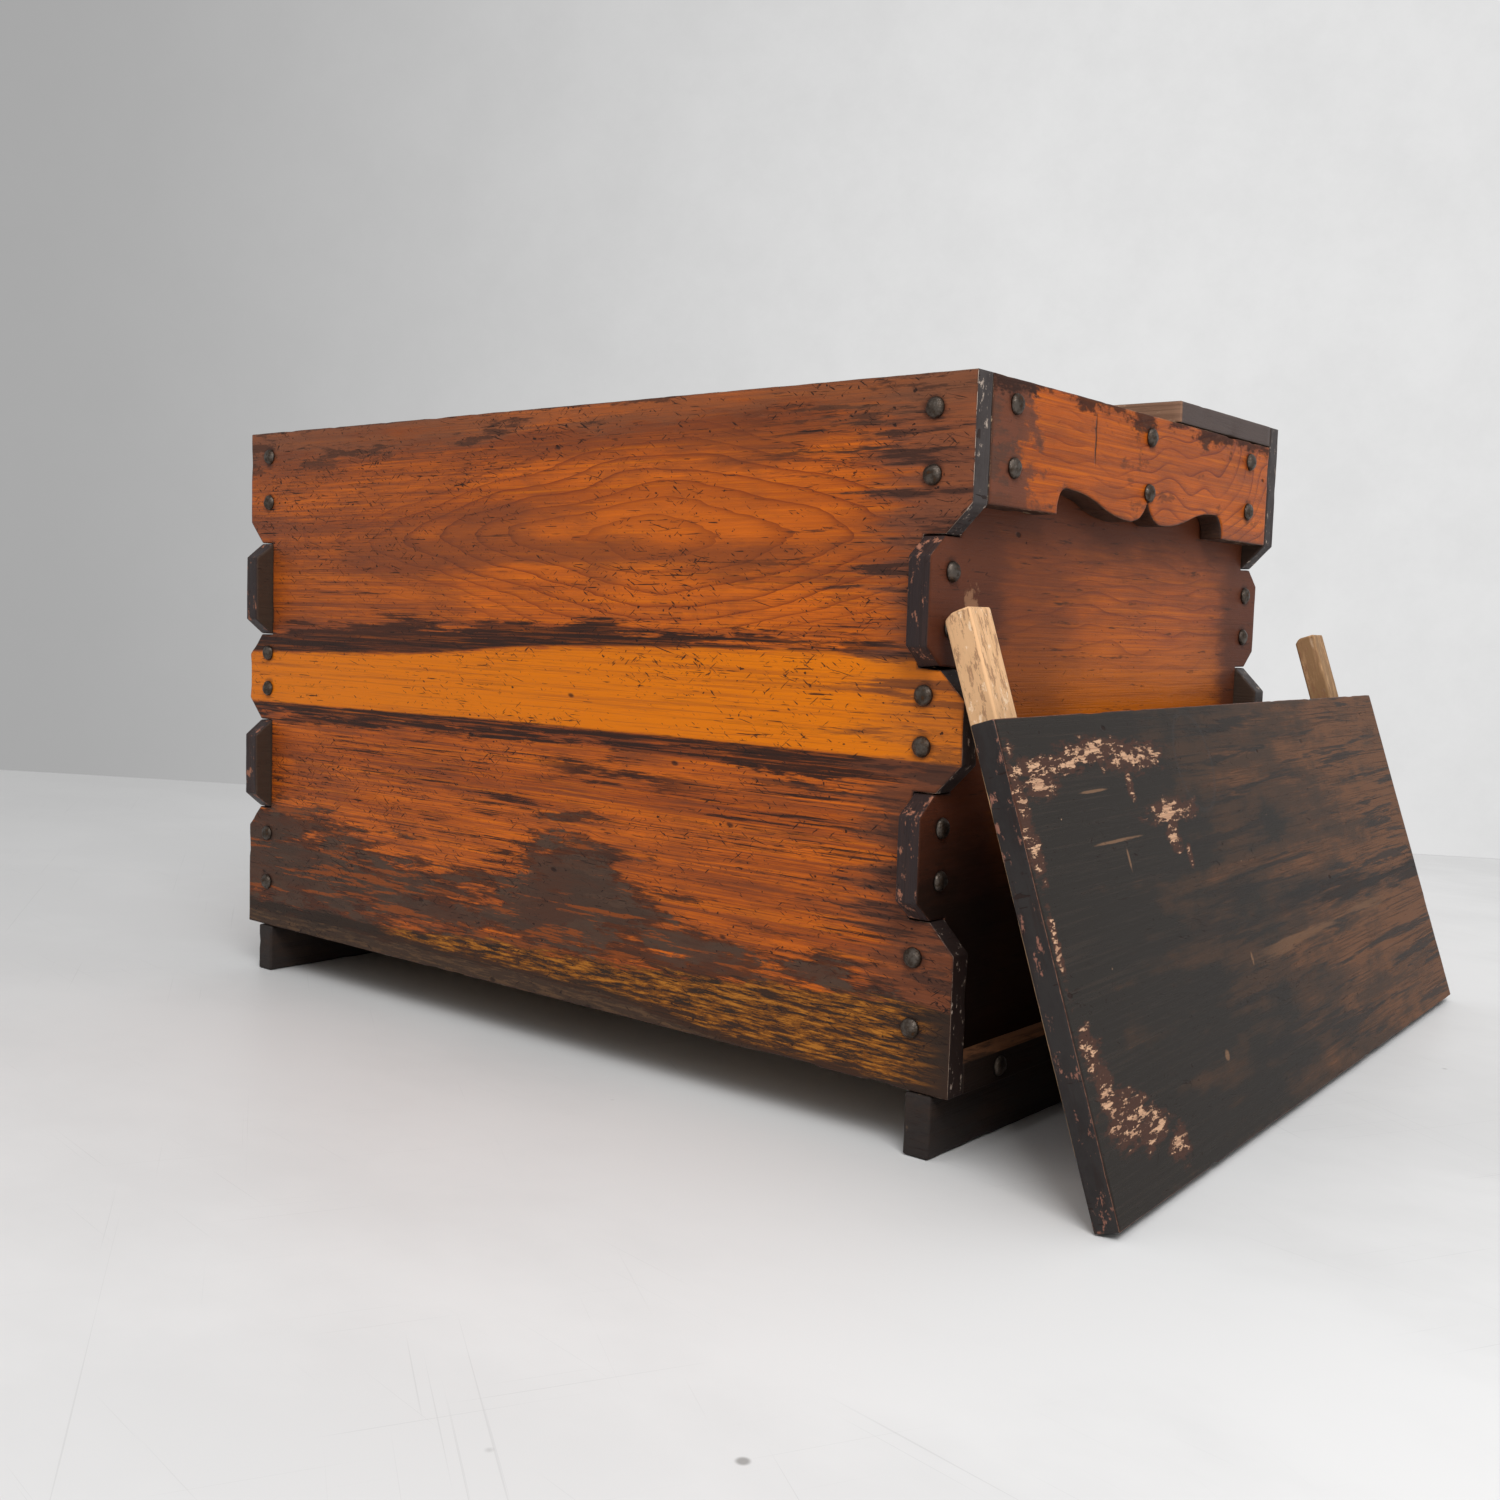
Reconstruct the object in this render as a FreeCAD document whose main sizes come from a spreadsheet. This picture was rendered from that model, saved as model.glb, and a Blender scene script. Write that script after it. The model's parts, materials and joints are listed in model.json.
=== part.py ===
"""Lacquered grain chest with its lid off and leaning on one end.

The long boards end in three square ears. The end panels' two fingers pass between the ears, and a
carved apron and a plain rail fill the space between the ears at the top and bottom of each end.
The rear of the top is a fixed board. The front of the top is a loose lid with two battens that
reach under the fixed board.

Frame: millimetres, +Z up. X runs along the chest, Y from the front to the back. The origin is on
the floor, in the middle of the footprint of the chest and its lid together. The outlines below are
drawn from the chest's own corner: X from the left ears, Y from the front face, Z from the floor.
"""
import FreeCAD, Part
import math
import os
from types import SimpleNamespace

import Sketcher

SIZES = {
    # chest body
    "chest_length": 860.0,      # over the ears, left to right
    "chest_depth": 520.0,       # over the long boards, front to back
    "board_thick": 19.5,        # front and back boards
    "end_thick": 18.5,          # end panels
    "ear_out": 20.5,            # the ears stand this far past the end panels
    "ear_chamfer": 21.0,        # height of the slope under and over an ear
    "bottom_ear": 122.5,        # heights up the corner, from the bottom of the boards
    "lower_finger": 89.0,
    "middle_ear": 87.0,
    "upper_finger": 91.0,
    "top_ear": 110.5,
    "finger_out": 18.0,         # the fingers stand this far past the long boards
    "finger_chamfer": 14.5,     # height of the slope at each end of a finger
    # apron
    "carving_start": 96.0,      # plain part of the lower edge, from each long board
    "carving_rise": 19.5,       # how high the carving cuts into the apron
    "carving_shoulder": 15.0,   # radius of the shoulder where the carving starts
    "lobe_half": 27.0,          # from a lobe's lowest point to the middle of the apron
    "lobe_lift": 3.2,           # a lobe hangs this much less than the plain part
    # bottom, rails and feet
    "bottom_thick": 18.0,
    "rail_height": 24.0,
    "foot_height": 46.0,
    "foot_width": 22.0,
    "foot_proud": 1.5,          # the feet run this far past the long boards
    "right_foot_inset": 13.5,   # from the ears to the foot's outer side
    "left_foot_inset": 21.0,
    # top
    "opening_depth": 311.5,     # from the front face to the fixed board
    "top_thick": 18.3,
    # lid
    "lid_thick": 18.5,
    "lid_end_gap": 2.5,         # closed, the lid stops this far short of the ears
    "lid_back_gap": 1.5,        # closed, between the lid and the fixed board
    "lid_lip": 17.0,            # closed, the lid stands this far past the front face
    "batten_wide": 31.0,
    "batten_thick": 22.0,
    "left_batten_gap": 4.0,     # closed, between a batten and the end panel beside it
    "right_batten_gap": 7.5,
    "batten_front_gap": 1.0,    # closed, between the battens and the front board
    "left_batten_reach": 82.0,  # past the lid's rear edge
    "right_batten_reach": 72.0,
    "batten_chamfer": 5.0,      # on the tip, where it slides under the fixed board
    # the lid's place against the right end
    "lid_lean": 18.2,           # degrees from upright
    "lid_forward": 41.0,        # its near end stands this far in front of the chest
    "lean_gap": 0.3,
    # nails
    "head_wide": 15.0,          # over the corners of the head
    "head_high": 5.0,
    "head_rim": 0.8,
    "head_slope": 3.1,          # how far in the hammered slope runs, from the rim up
    "head_facet": 2.0,          # width of the facet between the slope and the flat top
    "shank_wide": 4.5,
    "shank_tip": 2.0,
    "board_nail": 43.0,         # shank lengths
    "apron_nail": 34.0,
    "top_nail": 38.0,
    "foot_nail": 68.0,
    "batten_nail": 34.0,
    "flush_head_wide": 8.0,
    "flush_head_thick": 1.5,
    "apron_nail_front": 31.0,   # the apron's outer nails, from each long board
    "apron_nail_back": 43.0,
}

# where nails sit, as shares of the stretch that they hold
EAR_ROWS = (0.37, 0.78)
FINGER_ROWS = (0.31, 0.73)
APRON_ROWS = (0.8, 0.31)
END_PANEL_SHARE = 0.7           # nails through the ears enter the end panel this far through it
RAIL_NAILS = (0.1, 0.5, 0.9)
BOTTOM_NAILS = (0.2, 0.4, 0.6, 0.8)
FOOT_NAILS = (0.05, 0.3, 0.7, 0.95)
TOP_NAILS = (0.25, 0.7)
TOP_REAR_NAILS = (0.15, 0.5, 0.85)
BATTEN_NAILS = (0.12, 0.5, 0.88)
HEAD_SIDES = 10

LEFT = FreeCAD.Vector(-1, 0, 0)
RIGHT = FreeCAD.Vector(1, 0, 0)
FRONT = FreeCAD.Vector(0, -1, 0)
BACK = FreeCAD.Vector(0, 1, 0)
UP = FreeCAD.Vector(0, 0, 1)
DOWN = FreeCAD.Vector(0, 0, -1)


class Size:
    """A length that knows its number and the spreadsheet formula that gives it."""

    def __init__(self, value, formula):
        self.value = value
        self.formula = formula

    def __add__(self, other):
        other = as_size(other)
        return Size(self.value + other.value, f"({self.formula} + {other.formula})")

    def __sub__(self, other):
        other = as_size(other)
        return Size(self.value - other.value, f"({self.formula} - {other.formula})")

    def __mul__(self, factor):
        return Size(self.value * factor, f"({self.formula} * {factor})")

    def __truediv__(self, divisor):
        return Size(self.value / divisor, f"({self.formula} / {divisor})")

    def __neg__(self):
        return Size(-self.value, f"(-{self.formula})")


def as_size(length):
    if isinstance(length, Size):
        return length
    return Size(float(length), str(float(length)))


ZERO = as_size(0)
doc = FreeCAD.newDocument("grain_chest")
sheet = doc.addObject("Spreadsheet::Sheet", "sizes")
subparts = []


def add_to_sheet(name, value):
    """Writes one more size on the sheet, or a new value for one that is there."""
    if name not in sheet_rows:
        sheet_rows.append(name)
    row = sheet_rows.index(name) + 1
    sheet.set(f"A{row}", name)
    sheet.set(f"B{row}", f"{value:.6f}")
    sheet.setAlias(f"B{row}", name)
    return Size(value, f"sizes.{name}")


sheet_rows = []
s = SimpleNamespace(**{name: add_to_sheet(name, value) for name, value in SIZES.items()})
s.middle_x = add_to_sheet("middle_x", 0.0)
s.middle_y = add_to_sheet("middle_y", 0.0)


# ---- lines that several pieces share ----

far_ears = s.chest_length
end_outer = s.ear_out
end_inner = s.ear_out + s.end_thick
back_inner = s.chest_depth - s.board_thick
inner_depth = back_inner - s.board_thick
boards_low = s.foot_height
finger_1_low = boards_low + s.bottom_ear
finger_1_high = finger_1_low + s.lower_finger
finger_2_low = finger_1_high + s.middle_ear
finger_2_high = finger_2_low + s.upper_finger
rim = finger_2_high + s.top_ear
top_face = rim + s.top_thick
apron_low = finger_2_high + s.ear_chamfer
panel_middle = s.ear_out + s.end_thick / 2
ears = ((boards_low, s.bottom_ear), (finger_1_high, s.middle_ear), (finger_2_high, s.top_ear))
fingers = ((finger_1_low, s.lower_finger), (finger_2_low, s.upper_finger))


def from_right(distance):
    """X of a line that lies this far in from the right ears."""
    return far_ears - distance


def from_back(distance):
    """Y of a line that lies this far in from the back face."""
    return s.chest_depth - distance


def share(start, length, part):
    """A place part of the way along a stretch."""
    return start + length * part


# ---- how a piece is drawn and cut ----

def origin_plane(body, role):
    for feature in body.Origin.OriginFeatures:
        if feature.Role == role:
            return feature
    raise ValueError(role)


def arc_through(level_end, other_end):
    """The arc between two points that is level at the first."""
    across = other_end.x - level_end.x
    rise = other_end.y - level_end.y
    radius = (across ** 2 + rise ** 2) / (2 * rise)
    centre = FreeCAD.Vector(level_end.x, level_end.y + radius, 0)
    middle = (level_end + other_end) * 0.5 - centre
    middle.normalize()
    return Part.Arc(level_end, centre + middle * abs(radius), other_end)


def draw_outline(sketch, corners, level_at):
    """Draws a closed outline whose corners are all pinned to the spreadsheet.

    level_at names the edges that are arcs: level_at[i] is the end of edge i, 0 or 1, where the
    arc runs level. Its centre then lies straight above or below that corner.
    """
    points = [FreeCAD.Vector(across.value, up.value, 0) for across, up in corners]
    count = len(points)
    tips = []
    for i in range(count):
        ends = (points[i], points[(i + 1) % count])
        if i in level_at:
            level = level_at[i]
            edge = sketch.addGeometry(arc_through(ends[level], ends[1 - level]))
            starts_first = sketch.getPoint(edge, 1).distanceToPoint(ends[0]) < 1e-4
            order = (1, 2) if starts_first else (2, 1)
            sketch.addConstraint(Sketcher.Constraint("Vertical", edge, 3, edge, order[level]))
        else:
            edge = sketch.addGeometry(Part.LineSegment(*ends))
            order = (1, 2)
        tips.append((edge, order))
    for i, (edge, order) in enumerate(tips):
        following, following_order = tips[(i + 1) % count]
        sketch.addConstraint(
            Sketcher.Constraint("Coincident", edge, order[1], following, following_order[0]))
        for kind, place in zip(("DistanceX", "DistanceY"), corners[i]):
            pin = Sketcher.Constraint(kind, -1, 1, edge, order[0], place.value)
            number = sketch.addConstraint(pin)
            sketch.setExpression(f"Constraints[{number}]", place.formula)


def add_sketch(body, name, plane, corners, height=ZERO, level_at=None):
    sketch = body.newObject("Sketcher::SketchObject", name)
    sketch.AttachmentSupport = [(origin_plane(body, plane), "")]
    sketch.MapMode = "FlatFace"
    sketch.setExpression("AttachmentOffset.Base.z", height.formula)
    draw_outline(sketch, corners, level_at or {})
    return sketch


def keep(piece, name):
    """Marks a finished piece as one of the chest's own, under its name."""
    piece.Label = name
    subparts.append(piece)
    return piece


def put_home(piece):
    """Moves what was drawn from the chest's corner to the chest's place around the origin."""
    piece.setExpression("Placement.Base.x", "-sizes.middle_x")
    piece.setExpression("Placement.Base.y", "-sizes.middle_y")


def put_on_lid(piece):
    """Moves what was drawn from the lid's own corner to where the lid leans."""
    spot = "vector(sizes.lid_x - sizes.middle_x; -sizes.lid_forward - sizes.middle_y; 0)"
    piece.setExpression("Placement", f"placement({spot}; rotation(sizes.lid_yaw; -sizes.lid_lean; 0))")


def cut_board(name, plane, corners, start, thick, level_at=None, place=put_home):
    """A board: an outline in one plane, made thick from start towards +X, +Y or +Z."""
    body = doc.addObject("PartDesign::Body", name)
    faces_back = plane == "XZ_Plane"
    height = -start if faces_back else start
    sketch = add_sketch(body, f"{name}_outline", plane, corners, height, level_at)
    pad = body.newObject("PartDesign::Pad", f"{name}_pad")
    pad.Profile = sketch
    pad.Reversed = faces_back
    pad.setExpression("Length", thick.formula)
    body.Tip = pad
    place(body)
    return body


def rectangle(low_across, high_across, low_up, high_up):
    return [(low_across, low_up), (high_across, low_up), (high_across, high_up), (low_across, high_up)]


def nail_holes(name, blank, *nails):
    """The piece left when each nail's own shape is taken out of the plain board."""
    holes = doc.addObject("Part::Compound", f"{name}_nail_holes")
    holes.Links = list(nails)
    piece = doc.addObject("Part::Cut", f"{name}_cut")
    piece.Base = blank
    piece.Tool = holes
    return keep(piece, name)


# ---- nails ----

def add_shank(body, name, length):
    """A square shank that tapers from the head's seat down to its tip."""
    shank = body.newObject("PartDesign::AdditiveWedge", f"{name}_shank")
    shank.AttachmentSupport = [(origin_plane(body, "XZ_Plane"), "")]
    shank.MapMode = "FlatFace"
    for side, half in (("min", -0.5), ("max", 0.5)):
        for across in "XZ":
            shank.setExpression(f"{across}{side}", (s.shank_tip * half).formula)
            shank.setExpression(f"{across}2{side}", (s.shank_wide * half).formula)
    shank.setExpression("Ymin", (-length).formula)
    shank.Ymax = 0
    body.Tip = shank


def add_head(body, name, plan, high, sunk=False):
    """A flat head that stands on the nail's seat, or is sunk below it."""
    head = body.newObject("PartDesign::Pad", f"{name}_head")
    head.Profile = add_sketch(body, f"{name}_plan", "XY_Plane", plan)
    head.Reversed = sunk
    head.setExpression("Length", high.formula)
    body.Tip = head
    return head


def hammer_top_edges(body, name, base, across, down=None):
    """Slopes the edges round a head's flat top."""
    doc.recompute()
    top = base.Shape.BoundBox.ZMax
    edges = [
        f"Edge{number}" for number, edge in enumerate(base.Shape.Edges, 1)
        if edge.BoundBox.ZMin > top - 1e-6]
    slope = body.newObject("PartDesign::Chamfer", name)
    slope.Base = (base, edges)
    slope.ChamferType = "Two distances"
    slope.setExpression("Size", (down or across).formula)
    slope.setExpression("Size2", across.formula)
    body.Tip = slope
    return slope


def head_plan():
    """The corners of a domed head, hammered to equal sides."""
    radius = s.head_wide / 2
    turns = [2 * math.pi * (side + 0.5) / HEAD_SIDES for side in range(HEAD_SIDES)]
    return [(radius * round(math.cos(turn), 6), radius * round(math.sin(turn), 6)) for turn in turns]


def domed_nail(name, length):
    """A wrought nail with a hammered dome, its point down and the head's underside at the origin."""
    body = doc.addObject("PartDesign::Body", name)
    head = add_head(body, name, head_plan(), s.head_high)
    slope = hammer_top_edges(body, f"{name}_slope", head, s.head_slope, s.head_high - s.head_rim)
    hammer_top_edges(body, f"{name}_facet", slope, s.head_facet)
    add_shank(body, name, length)
    return body


def flush_nail(name, length):
    """A nail whose flat square head is let into the wood, its outer face at the origin."""
    body = doc.addObject("PartDesign::Body", name)
    half = s.flush_head_wide / 2
    add_head(body, name, rectangle(-half, half, -half, half), s.flush_head_thick, sunk=True)
    add_shank(body, name, length)
    return body


def drive(name, pattern, places, place=put_home):
    """A group of like nails, each at its own place, with its head facing outward."""
    copies = []
    for across, back, up, outward in places:
        nail = pattern.Shape.copy()
        point = FreeCAD.Vector(across.value, back.value, up.value)
        nail.Placement = FreeCAD.Placement(point, FreeCAD.Rotation(UP, outward))
        copies.append(nail)
    group = doc.addObject("Part::Feature", f"{name}_group")
    group.Shape = Part.makeCompound(copies)
    place(group)
    return keep(group, name)


board_nail = domed_nail("board_nail_pattern", s.board_nail)
apron_nail = domed_nail("apron_nail_pattern", s.apron_nail)
bottom_nail = flush_nail("bottom_nail_pattern", s.board_nail)
top_nail = flush_nail("top_nail_pattern", s.top_nail)
foot_nail = flush_nail("foot_nail_pattern", s.foot_nail)
batten_nail = flush_nail("batten_nail_pattern", s.batten_nail)
doc.recompute()


def both_ends(distance):
    """X of the same line at the left and at the right end."""
    return distance, from_right(distance)


def ear_nails(face, outward):
    """Two nails through each ear of a long board into the end panel behind it."""
    inset = s.ear_out + s.end_thick * END_PANEL_SHARE
    rows = [share(low, high, row) for low, high in ears for row in EAR_ROWS]
    return [(across, face, up, outward) for across in both_ends(inset) for up in rows]


def finger_nails(face, outward):
    """Two nails through each finger of an end panel into the long board's end grain."""
    rows = [share(low, high, row) for low, high in fingers for row in FINGER_ROWS]
    middles = (s.board_thick / 2, from_back(s.board_thick / 2))
    return [(face, back, up, outward) for back in middles for up in rows]


def apron_nails(face, outward):
    """Pairs of nails at both ends and in the middle of an apron."""
    columns = (s.board_thick + s.apron_nail_front, s.chest_depth / 2, back_inner - s.apron_nail_back)
    rows = [share(apron_low, rim - apron_low, row) for row in APRON_ROWS]
    return [(face, back, up, outward) for back in columns for up in rows]


def across_the_end(face, shares, up, outward):
    """Nails spaced between the long boards, all at one height."""
    return [(face, share(s.board_thick, inner_depth, part), up, outward) for part in shares]


fixed_top_depth = back_inner - s.opening_depth
fixed_top_rear = [
    (share(ZERO, s.chest_length, part), s.chest_depth, rim + s.top_thick / 2, BACK)
    for part in TOP_REAR_NAILS]
fixed_top_ends = [
    (across, share(s.opening_depth, fixed_top_depth, part), top_face, UP)
    for across in both_ends(panel_middle) for part in TOP_NAILS]
rail_middle = boards_low + s.rail_height / 2
bottom_middle = boards_low + s.bottom_thick / 2

front_nails = drive("front_nails", board_nail, ear_nails(ZERO, FRONT))
back_nails = drive("back_nails", board_nail, ear_nails(s.chest_depth, BACK) + fixed_top_rear)
left_end_nails = drive("left_end_nails", board_nail, finger_nails(end_outer, LEFT))
right_end_nails = drive("right_end_nails", board_nail, finger_nails(from_right(end_outer), RIGHT))
left_apron_nails = drive("left_apron_nails", apron_nail, apron_nails(ZERO, LEFT))
right_apron_nails = drive("right_apron_nails", apron_nail, apron_nails(far_ears, RIGHT))
rail_nails = drive(
    "bottom_rail_nails", apron_nail,
    across_the_end(ZERO, RAIL_NAILS, rail_middle, LEFT)
    + across_the_end(far_ears, RAIL_NAILS, rail_middle, RIGHT))
bottom_nails = drive(
    "bottom_plank_nails", bottom_nail,
    across_the_end(end_outer, BOTTOM_NAILS, bottom_middle, LEFT)
    + across_the_end(from_right(end_outer), BOTTOM_NAILS, bottom_middle, RIGHT))
foot_nails = drive(
    "foot_nails", foot_nail,
    [nail for across in both_ends(panel_middle)
     for nail in across_the_end(across, FOOT_NAILS, ZERO, DOWN)])
top_nails = drive("fixed_top_nails", top_nail, fixed_top_ends)


# ---- long boards ----

def ear_edge(top):
    """The corner's profile from the bottom up: (distance in from the ears, height)."""
    edge = [(ZERO, boards_low)]
    for low, height in fingers:
        high = low + height
        edge += [
            (ZERO, low - s.ear_chamfer),
            (s.ear_out, low),
            (end_inner, low),
            (end_inner, high),
            (s.ear_out, high),
            (ZERO, high + s.ear_chamfer)]
    return edge + [(ZERO, top)]


def long_board(name, top, face):
    """A front or back board, with ears at both ends."""
    right_edge = [(from_right(inset), up) for inset, up in ear_edge(top)]
    left_edge = list(reversed(ear_edge(top)))
    return cut_board(name, "XZ_Plane", right_edge + left_edge, face, s.board_thick)


front_blank = long_board("front_board_blank", rim, ZERO)
back_blank = long_board("back_board_blank", top_face, back_inner)
nail_holes("front_board", front_blank, front_nails, left_end_nails, right_end_nails, foot_nails)
nail_holes("back_board", back_blank, back_nails, left_end_nails, right_end_nails, foot_nails)


# ---- end panels ----

def finger_edge():
    """The end panel's front edge from the bottom up: (distance in from the front face, height)."""
    edge = [(s.board_thick, boards_low)]
    for low, height in fingers:
        high = low + height
        edge += [
            (s.board_thick, low),
            (ZERO, low),
            (-s.finger_out, low + s.finger_chamfer),
            (-s.finger_out, high - s.finger_chamfer),
            (ZERO, high),
            (s.board_thick, high)]
    return edge + [(s.board_thick, rim)]


def end_panel(name, start, *nails):
    """An end panel, with two fingers through each long board."""
    back_edge = [(from_back(inset), up) for inset, up in finger_edge()]
    front_edge = list(reversed(finger_edge()))
    blank = cut_board(f"{name}_blank", "YZ_Plane", back_edge + front_edge, start, s.end_thick)
    nail_holes(name, blank, front_nails, back_nails, rail_nails, bottom_nails, foot_nails, top_nails, *nails)


end_panel("left_end_panel", end_outer, left_end_nails, left_apron_nails)
end_panel("right_end_panel", from_right(end_inner), right_end_nails, right_apron_nails)


# ---- aprons ----

def apron_outline():
    """The apron, and which edges of its outline are arcs.

    From each side the lower edge runs plain, turns up round a shoulder, falls in a long double
    curve to a lobe, and rises from the lobe to a point in the middle.
    """
    middle = s.chest_depth / 2
    start = s.board_thick + s.carving_start
    shoulder_low = (start, apron_low + s.carving_rise - s.carving_shoulder)
    peak = (start + s.carving_shoulder, apron_low + s.carving_rise)
    lobe = (middle - s.lobe_half, apron_low + s.lobe_lift)
    turn = ((peak[0] + lobe[0]) / 2, (peak[1] + lobe[1]) / 2)
    point = (middle, apron_low + s.carving_rise)
    front_half = [(s.board_thick, apron_low), (start, apron_low), shoulder_low, peak, turn, lobe]
    back_half = [(from_back(back), up) for back, up in reversed(front_half)]
    corners = front_half + [point] + back_half + [(back_inner, rim), (s.board_thick, rim)]
    arcs = {2: 1, 3: 0, 4: 1, 5: 0, 6: 1, 7: 0, 8: 1, 9: 0}
    return corners, arcs


def apron(name, start, nails):
    corners, arcs = apron_outline()
    blank = cut_board(f"{name}_blank", "YZ_Plane", corners, start, s.ear_out, arcs)
    nail_holes(name, blank, nails)


apron("left_apron", ZERO, left_apron_nails)
apron("right_apron", from_right(s.ear_out), right_apron_nails)


# ---- bottom rails, bottom planks and feet ----

def bottom_rail(name, start):
    outline = rectangle(s.board_thick, back_inner, boards_low, boards_low + s.rail_height)
    blank = cut_board(f"{name}_blank", "YZ_Plane", outline, start, s.ear_out)
    nail_holes(name, blank, rail_nails)


bottom_rail("left_bottom_rail", ZERO)
bottom_rail("right_bottom_rail", from_right(s.ear_out))


def bottom_plank(name, front, back):
    outline = rectangle(end_inner, from_right(end_inner), front, back)
    blank = cut_board(f"{name}_blank", "XY_Plane", outline, boards_low, s.bottom_thick)
    nail_holes(name, blank, bottom_nails)


bottom_plank("front_bottom_plank", s.board_thick, s.chest_depth / 2)
bottom_plank("back_bottom_plank", s.chest_depth / 2, back_inner)


def foot(name, start):
    """A bar under the corners of one end, from just past the front board to just past the back."""
    outline = rectangle(start, start + s.foot_width, -s.foot_proud, s.chest_depth + s.foot_proud)
    blank = cut_board(f"{name}_blank", "XY_Plane", outline, ZERO, s.foot_height)
    nail_holes(name, blank, foot_nails)


foot("left_foot", s.left_foot_inset)
foot("right_foot", from_right(s.right_foot_inset + s.foot_width))


# ---- fixed rear board of the top ----

top_outline = rectangle(ZERO, far_ears, s.opening_depth, back_inner)
top_blank = cut_board("fixed_top_blank", "XY_Plane", top_outline, rim, s.top_thick)
nail_holes("fixed_top_board", top_blank, top_nails, back_nails)


# ---- where the lid leans ----

lid_depth = s.opening_depth - s.lid_back_gap + s.lid_lip
lid_length = s.chest_length - s.lid_end_gap * 2


def ear_profile_at(height):
    """How far out, from the ears' own line, the right end reaches at a height."""
    edge = [(min(inset.value, s.ear_out.value), up.value) for inset, up in ear_edge(rim)]
    for (inset, low), (next_inset, high) in zip(edge, edge[1:]):
        if low <= height <= high and high > low:
            return -(inset + (next_inset - inset) * (height - low) / (high - low))
    return -s.ear_out.value


def push_out(top_height, slope):
    """How far the end pushes out a leaning face that stops at this height."""
    heights = [up.value for inset, up in ear_edge(rim) if up.value < top_height]
    return max(ear_profile_at(up) + up * slope for up in heights + [top_height])


def push_of_head(height, slope):
    """How far the head of a nail in the end panel at this height pushes out a leaning face."""
    radius = s.head_wide.value / 2
    rim = s.head_rim.value
    top = s.head_high.value
    steepness = math.atan2(top - rim, s.head_slope.value)
    facet = s.head_facet.value
    top_of_slope = radius - s.head_slope.value
    crests = [
        (radius, rim),
        (top_of_slope + facet * math.cos(steepness), top - facet * math.sin(steepness)),
        (top_of_slope - facet, top)]
    return height * slope - s.ear_out.value + max(out + inset * slope for inset, out in crests)


def lean_against_the_end():
    """Turns and places the lid.

    Its rear edge touches the far ear. Its near batten touches the near ear, or the head of a nail
    in the finger above that ear, whichever stands out more. The lid is turned a little to do both.
    """
    lean = math.radians(s.lid_lean.value)
    slope = math.tan(lean)
    lid_top = lid_depth.value * math.cos(lean)
    batten_length = lid_depth.value + s.left_batten_reach.value
    batten_top = batten_length * math.cos(lean) - s.batten_thick.value * math.sin(lean)
    nail_rows = [share(finger_2_low, s.upper_finger, row).value for row in FINGER_ROWS]
    heads = [push_of_head(row, slope) for row in nail_rows if row < batten_top]
    near = max([push_out(batten_top, slope)] + heads) + s.batten_thick.value / math.cos(lean)
    far = push_out(lid_top, slope)
    yaw = math.asin((near - far) / back_inner.value)
    stand = far + s.lean_gap.value + s.chest_depth.value * math.sin(yaw)
    foot_out = (stand + s.lid_forward.value * math.sin(yaw)) / math.cos(yaw)
    return math.degrees(yaw), s.chest_length.value + foot_out


lid_yaw, lid_x = lean_against_the_end()
s.lid_yaw = add_to_sheet("lid_yaw", lid_yaw)
s.lid_x = add_to_sheet("lid_x", lid_x)


# ---- lid ----
# Drawn from its own corner: X out of the outer face, Y along the lid, Z up to its rear edge.

batten_low = s.lid_lip + s.board_thick + s.batten_front_gap
left_batten = end_inner + s.left_batten_gap - s.lid_end_gap
right_batten = lid_length - (end_inner + s.right_batten_gap - s.lid_end_gap) - s.batten_wide


def batten_nails(start):
    """Nails through a batten's back into the lid."""
    middle = start + s.batten_wide / 2
    rows = [share(batten_low, lid_depth - batten_low, part) for part in BATTEN_NAILS]
    return [(-s.batten_thick, middle, up, LEFT) for up in rows]


lid_nails = drive(
    "lid_batten_nails", batten_nail, batten_nails(left_batten) + batten_nails(right_batten), put_on_lid)

lid_outline = rectangle(ZERO, lid_length, ZERO, lid_depth)
lid_blank = cut_board("lid_blank", "YZ_Plane", lid_outline, ZERO, s.lid_thick, place=put_on_lid)
nail_holes("lid_board", lid_blank, lid_nails)


def batten(name, start, reach):
    """A batten, with its tip chamfered to slide under the fixed board."""
    tip = lid_depth + reach
    outline = [
        (-s.batten_thick, batten_low),
        (ZERO, batten_low),
        (ZERO, tip),
        (-s.batten_thick + s.batten_chamfer, tip),
        (-s.batten_thick, tip - s.batten_chamfer)]
    blank = cut_board(f"{name}_blank", "XZ_Plane", outline, start, s.batten_wide, place=put_on_lid)
    nail_holes(name, blank, lid_nails)


batten("lid_left_batten", left_batten, s.left_batten_reach)
batten("lid_right_batten", right_batten, s.right_batten_reach)


# ---- origin, checks and files ----

def centre_the_footprint():
    """Moves every piece so that the origin is in the middle of the footprint."""
    box = FreeCAD.BoundBox()
    for piece in subparts:
        box.add(piece.Shape.optimalBoundingBox(False, False))
    add_to_sheet("middle_x", box.Center.x)
    add_to_sheet("middle_y", box.Center.y)


def check_everything():
    for feature in doc.Objects:
        troubles = {"Invalid", "Error"} & set(feature.State)
        if troubles:
            raise RuntimeError(f"{feature.Name}: {troubles}")
    for piece in subparts:
        if piece.Shape.isNull() or not piece.Shape.isValid() or not piece.Shape.Solids:
            raise RuntimeError(f"{piece.Label} has no sound solid")


doc.recompute()
centre_the_footprint()
doc.recompute()
check_everything()
os.makedirs("parts", exist_ok=True)
for piece in subparts:
    piece.Shape.exportStep(f"parts/{piece.Label}.step")
    print(piece.Label, len(piece.Shape.Solids), round(piece.Shape.Volume))
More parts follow.
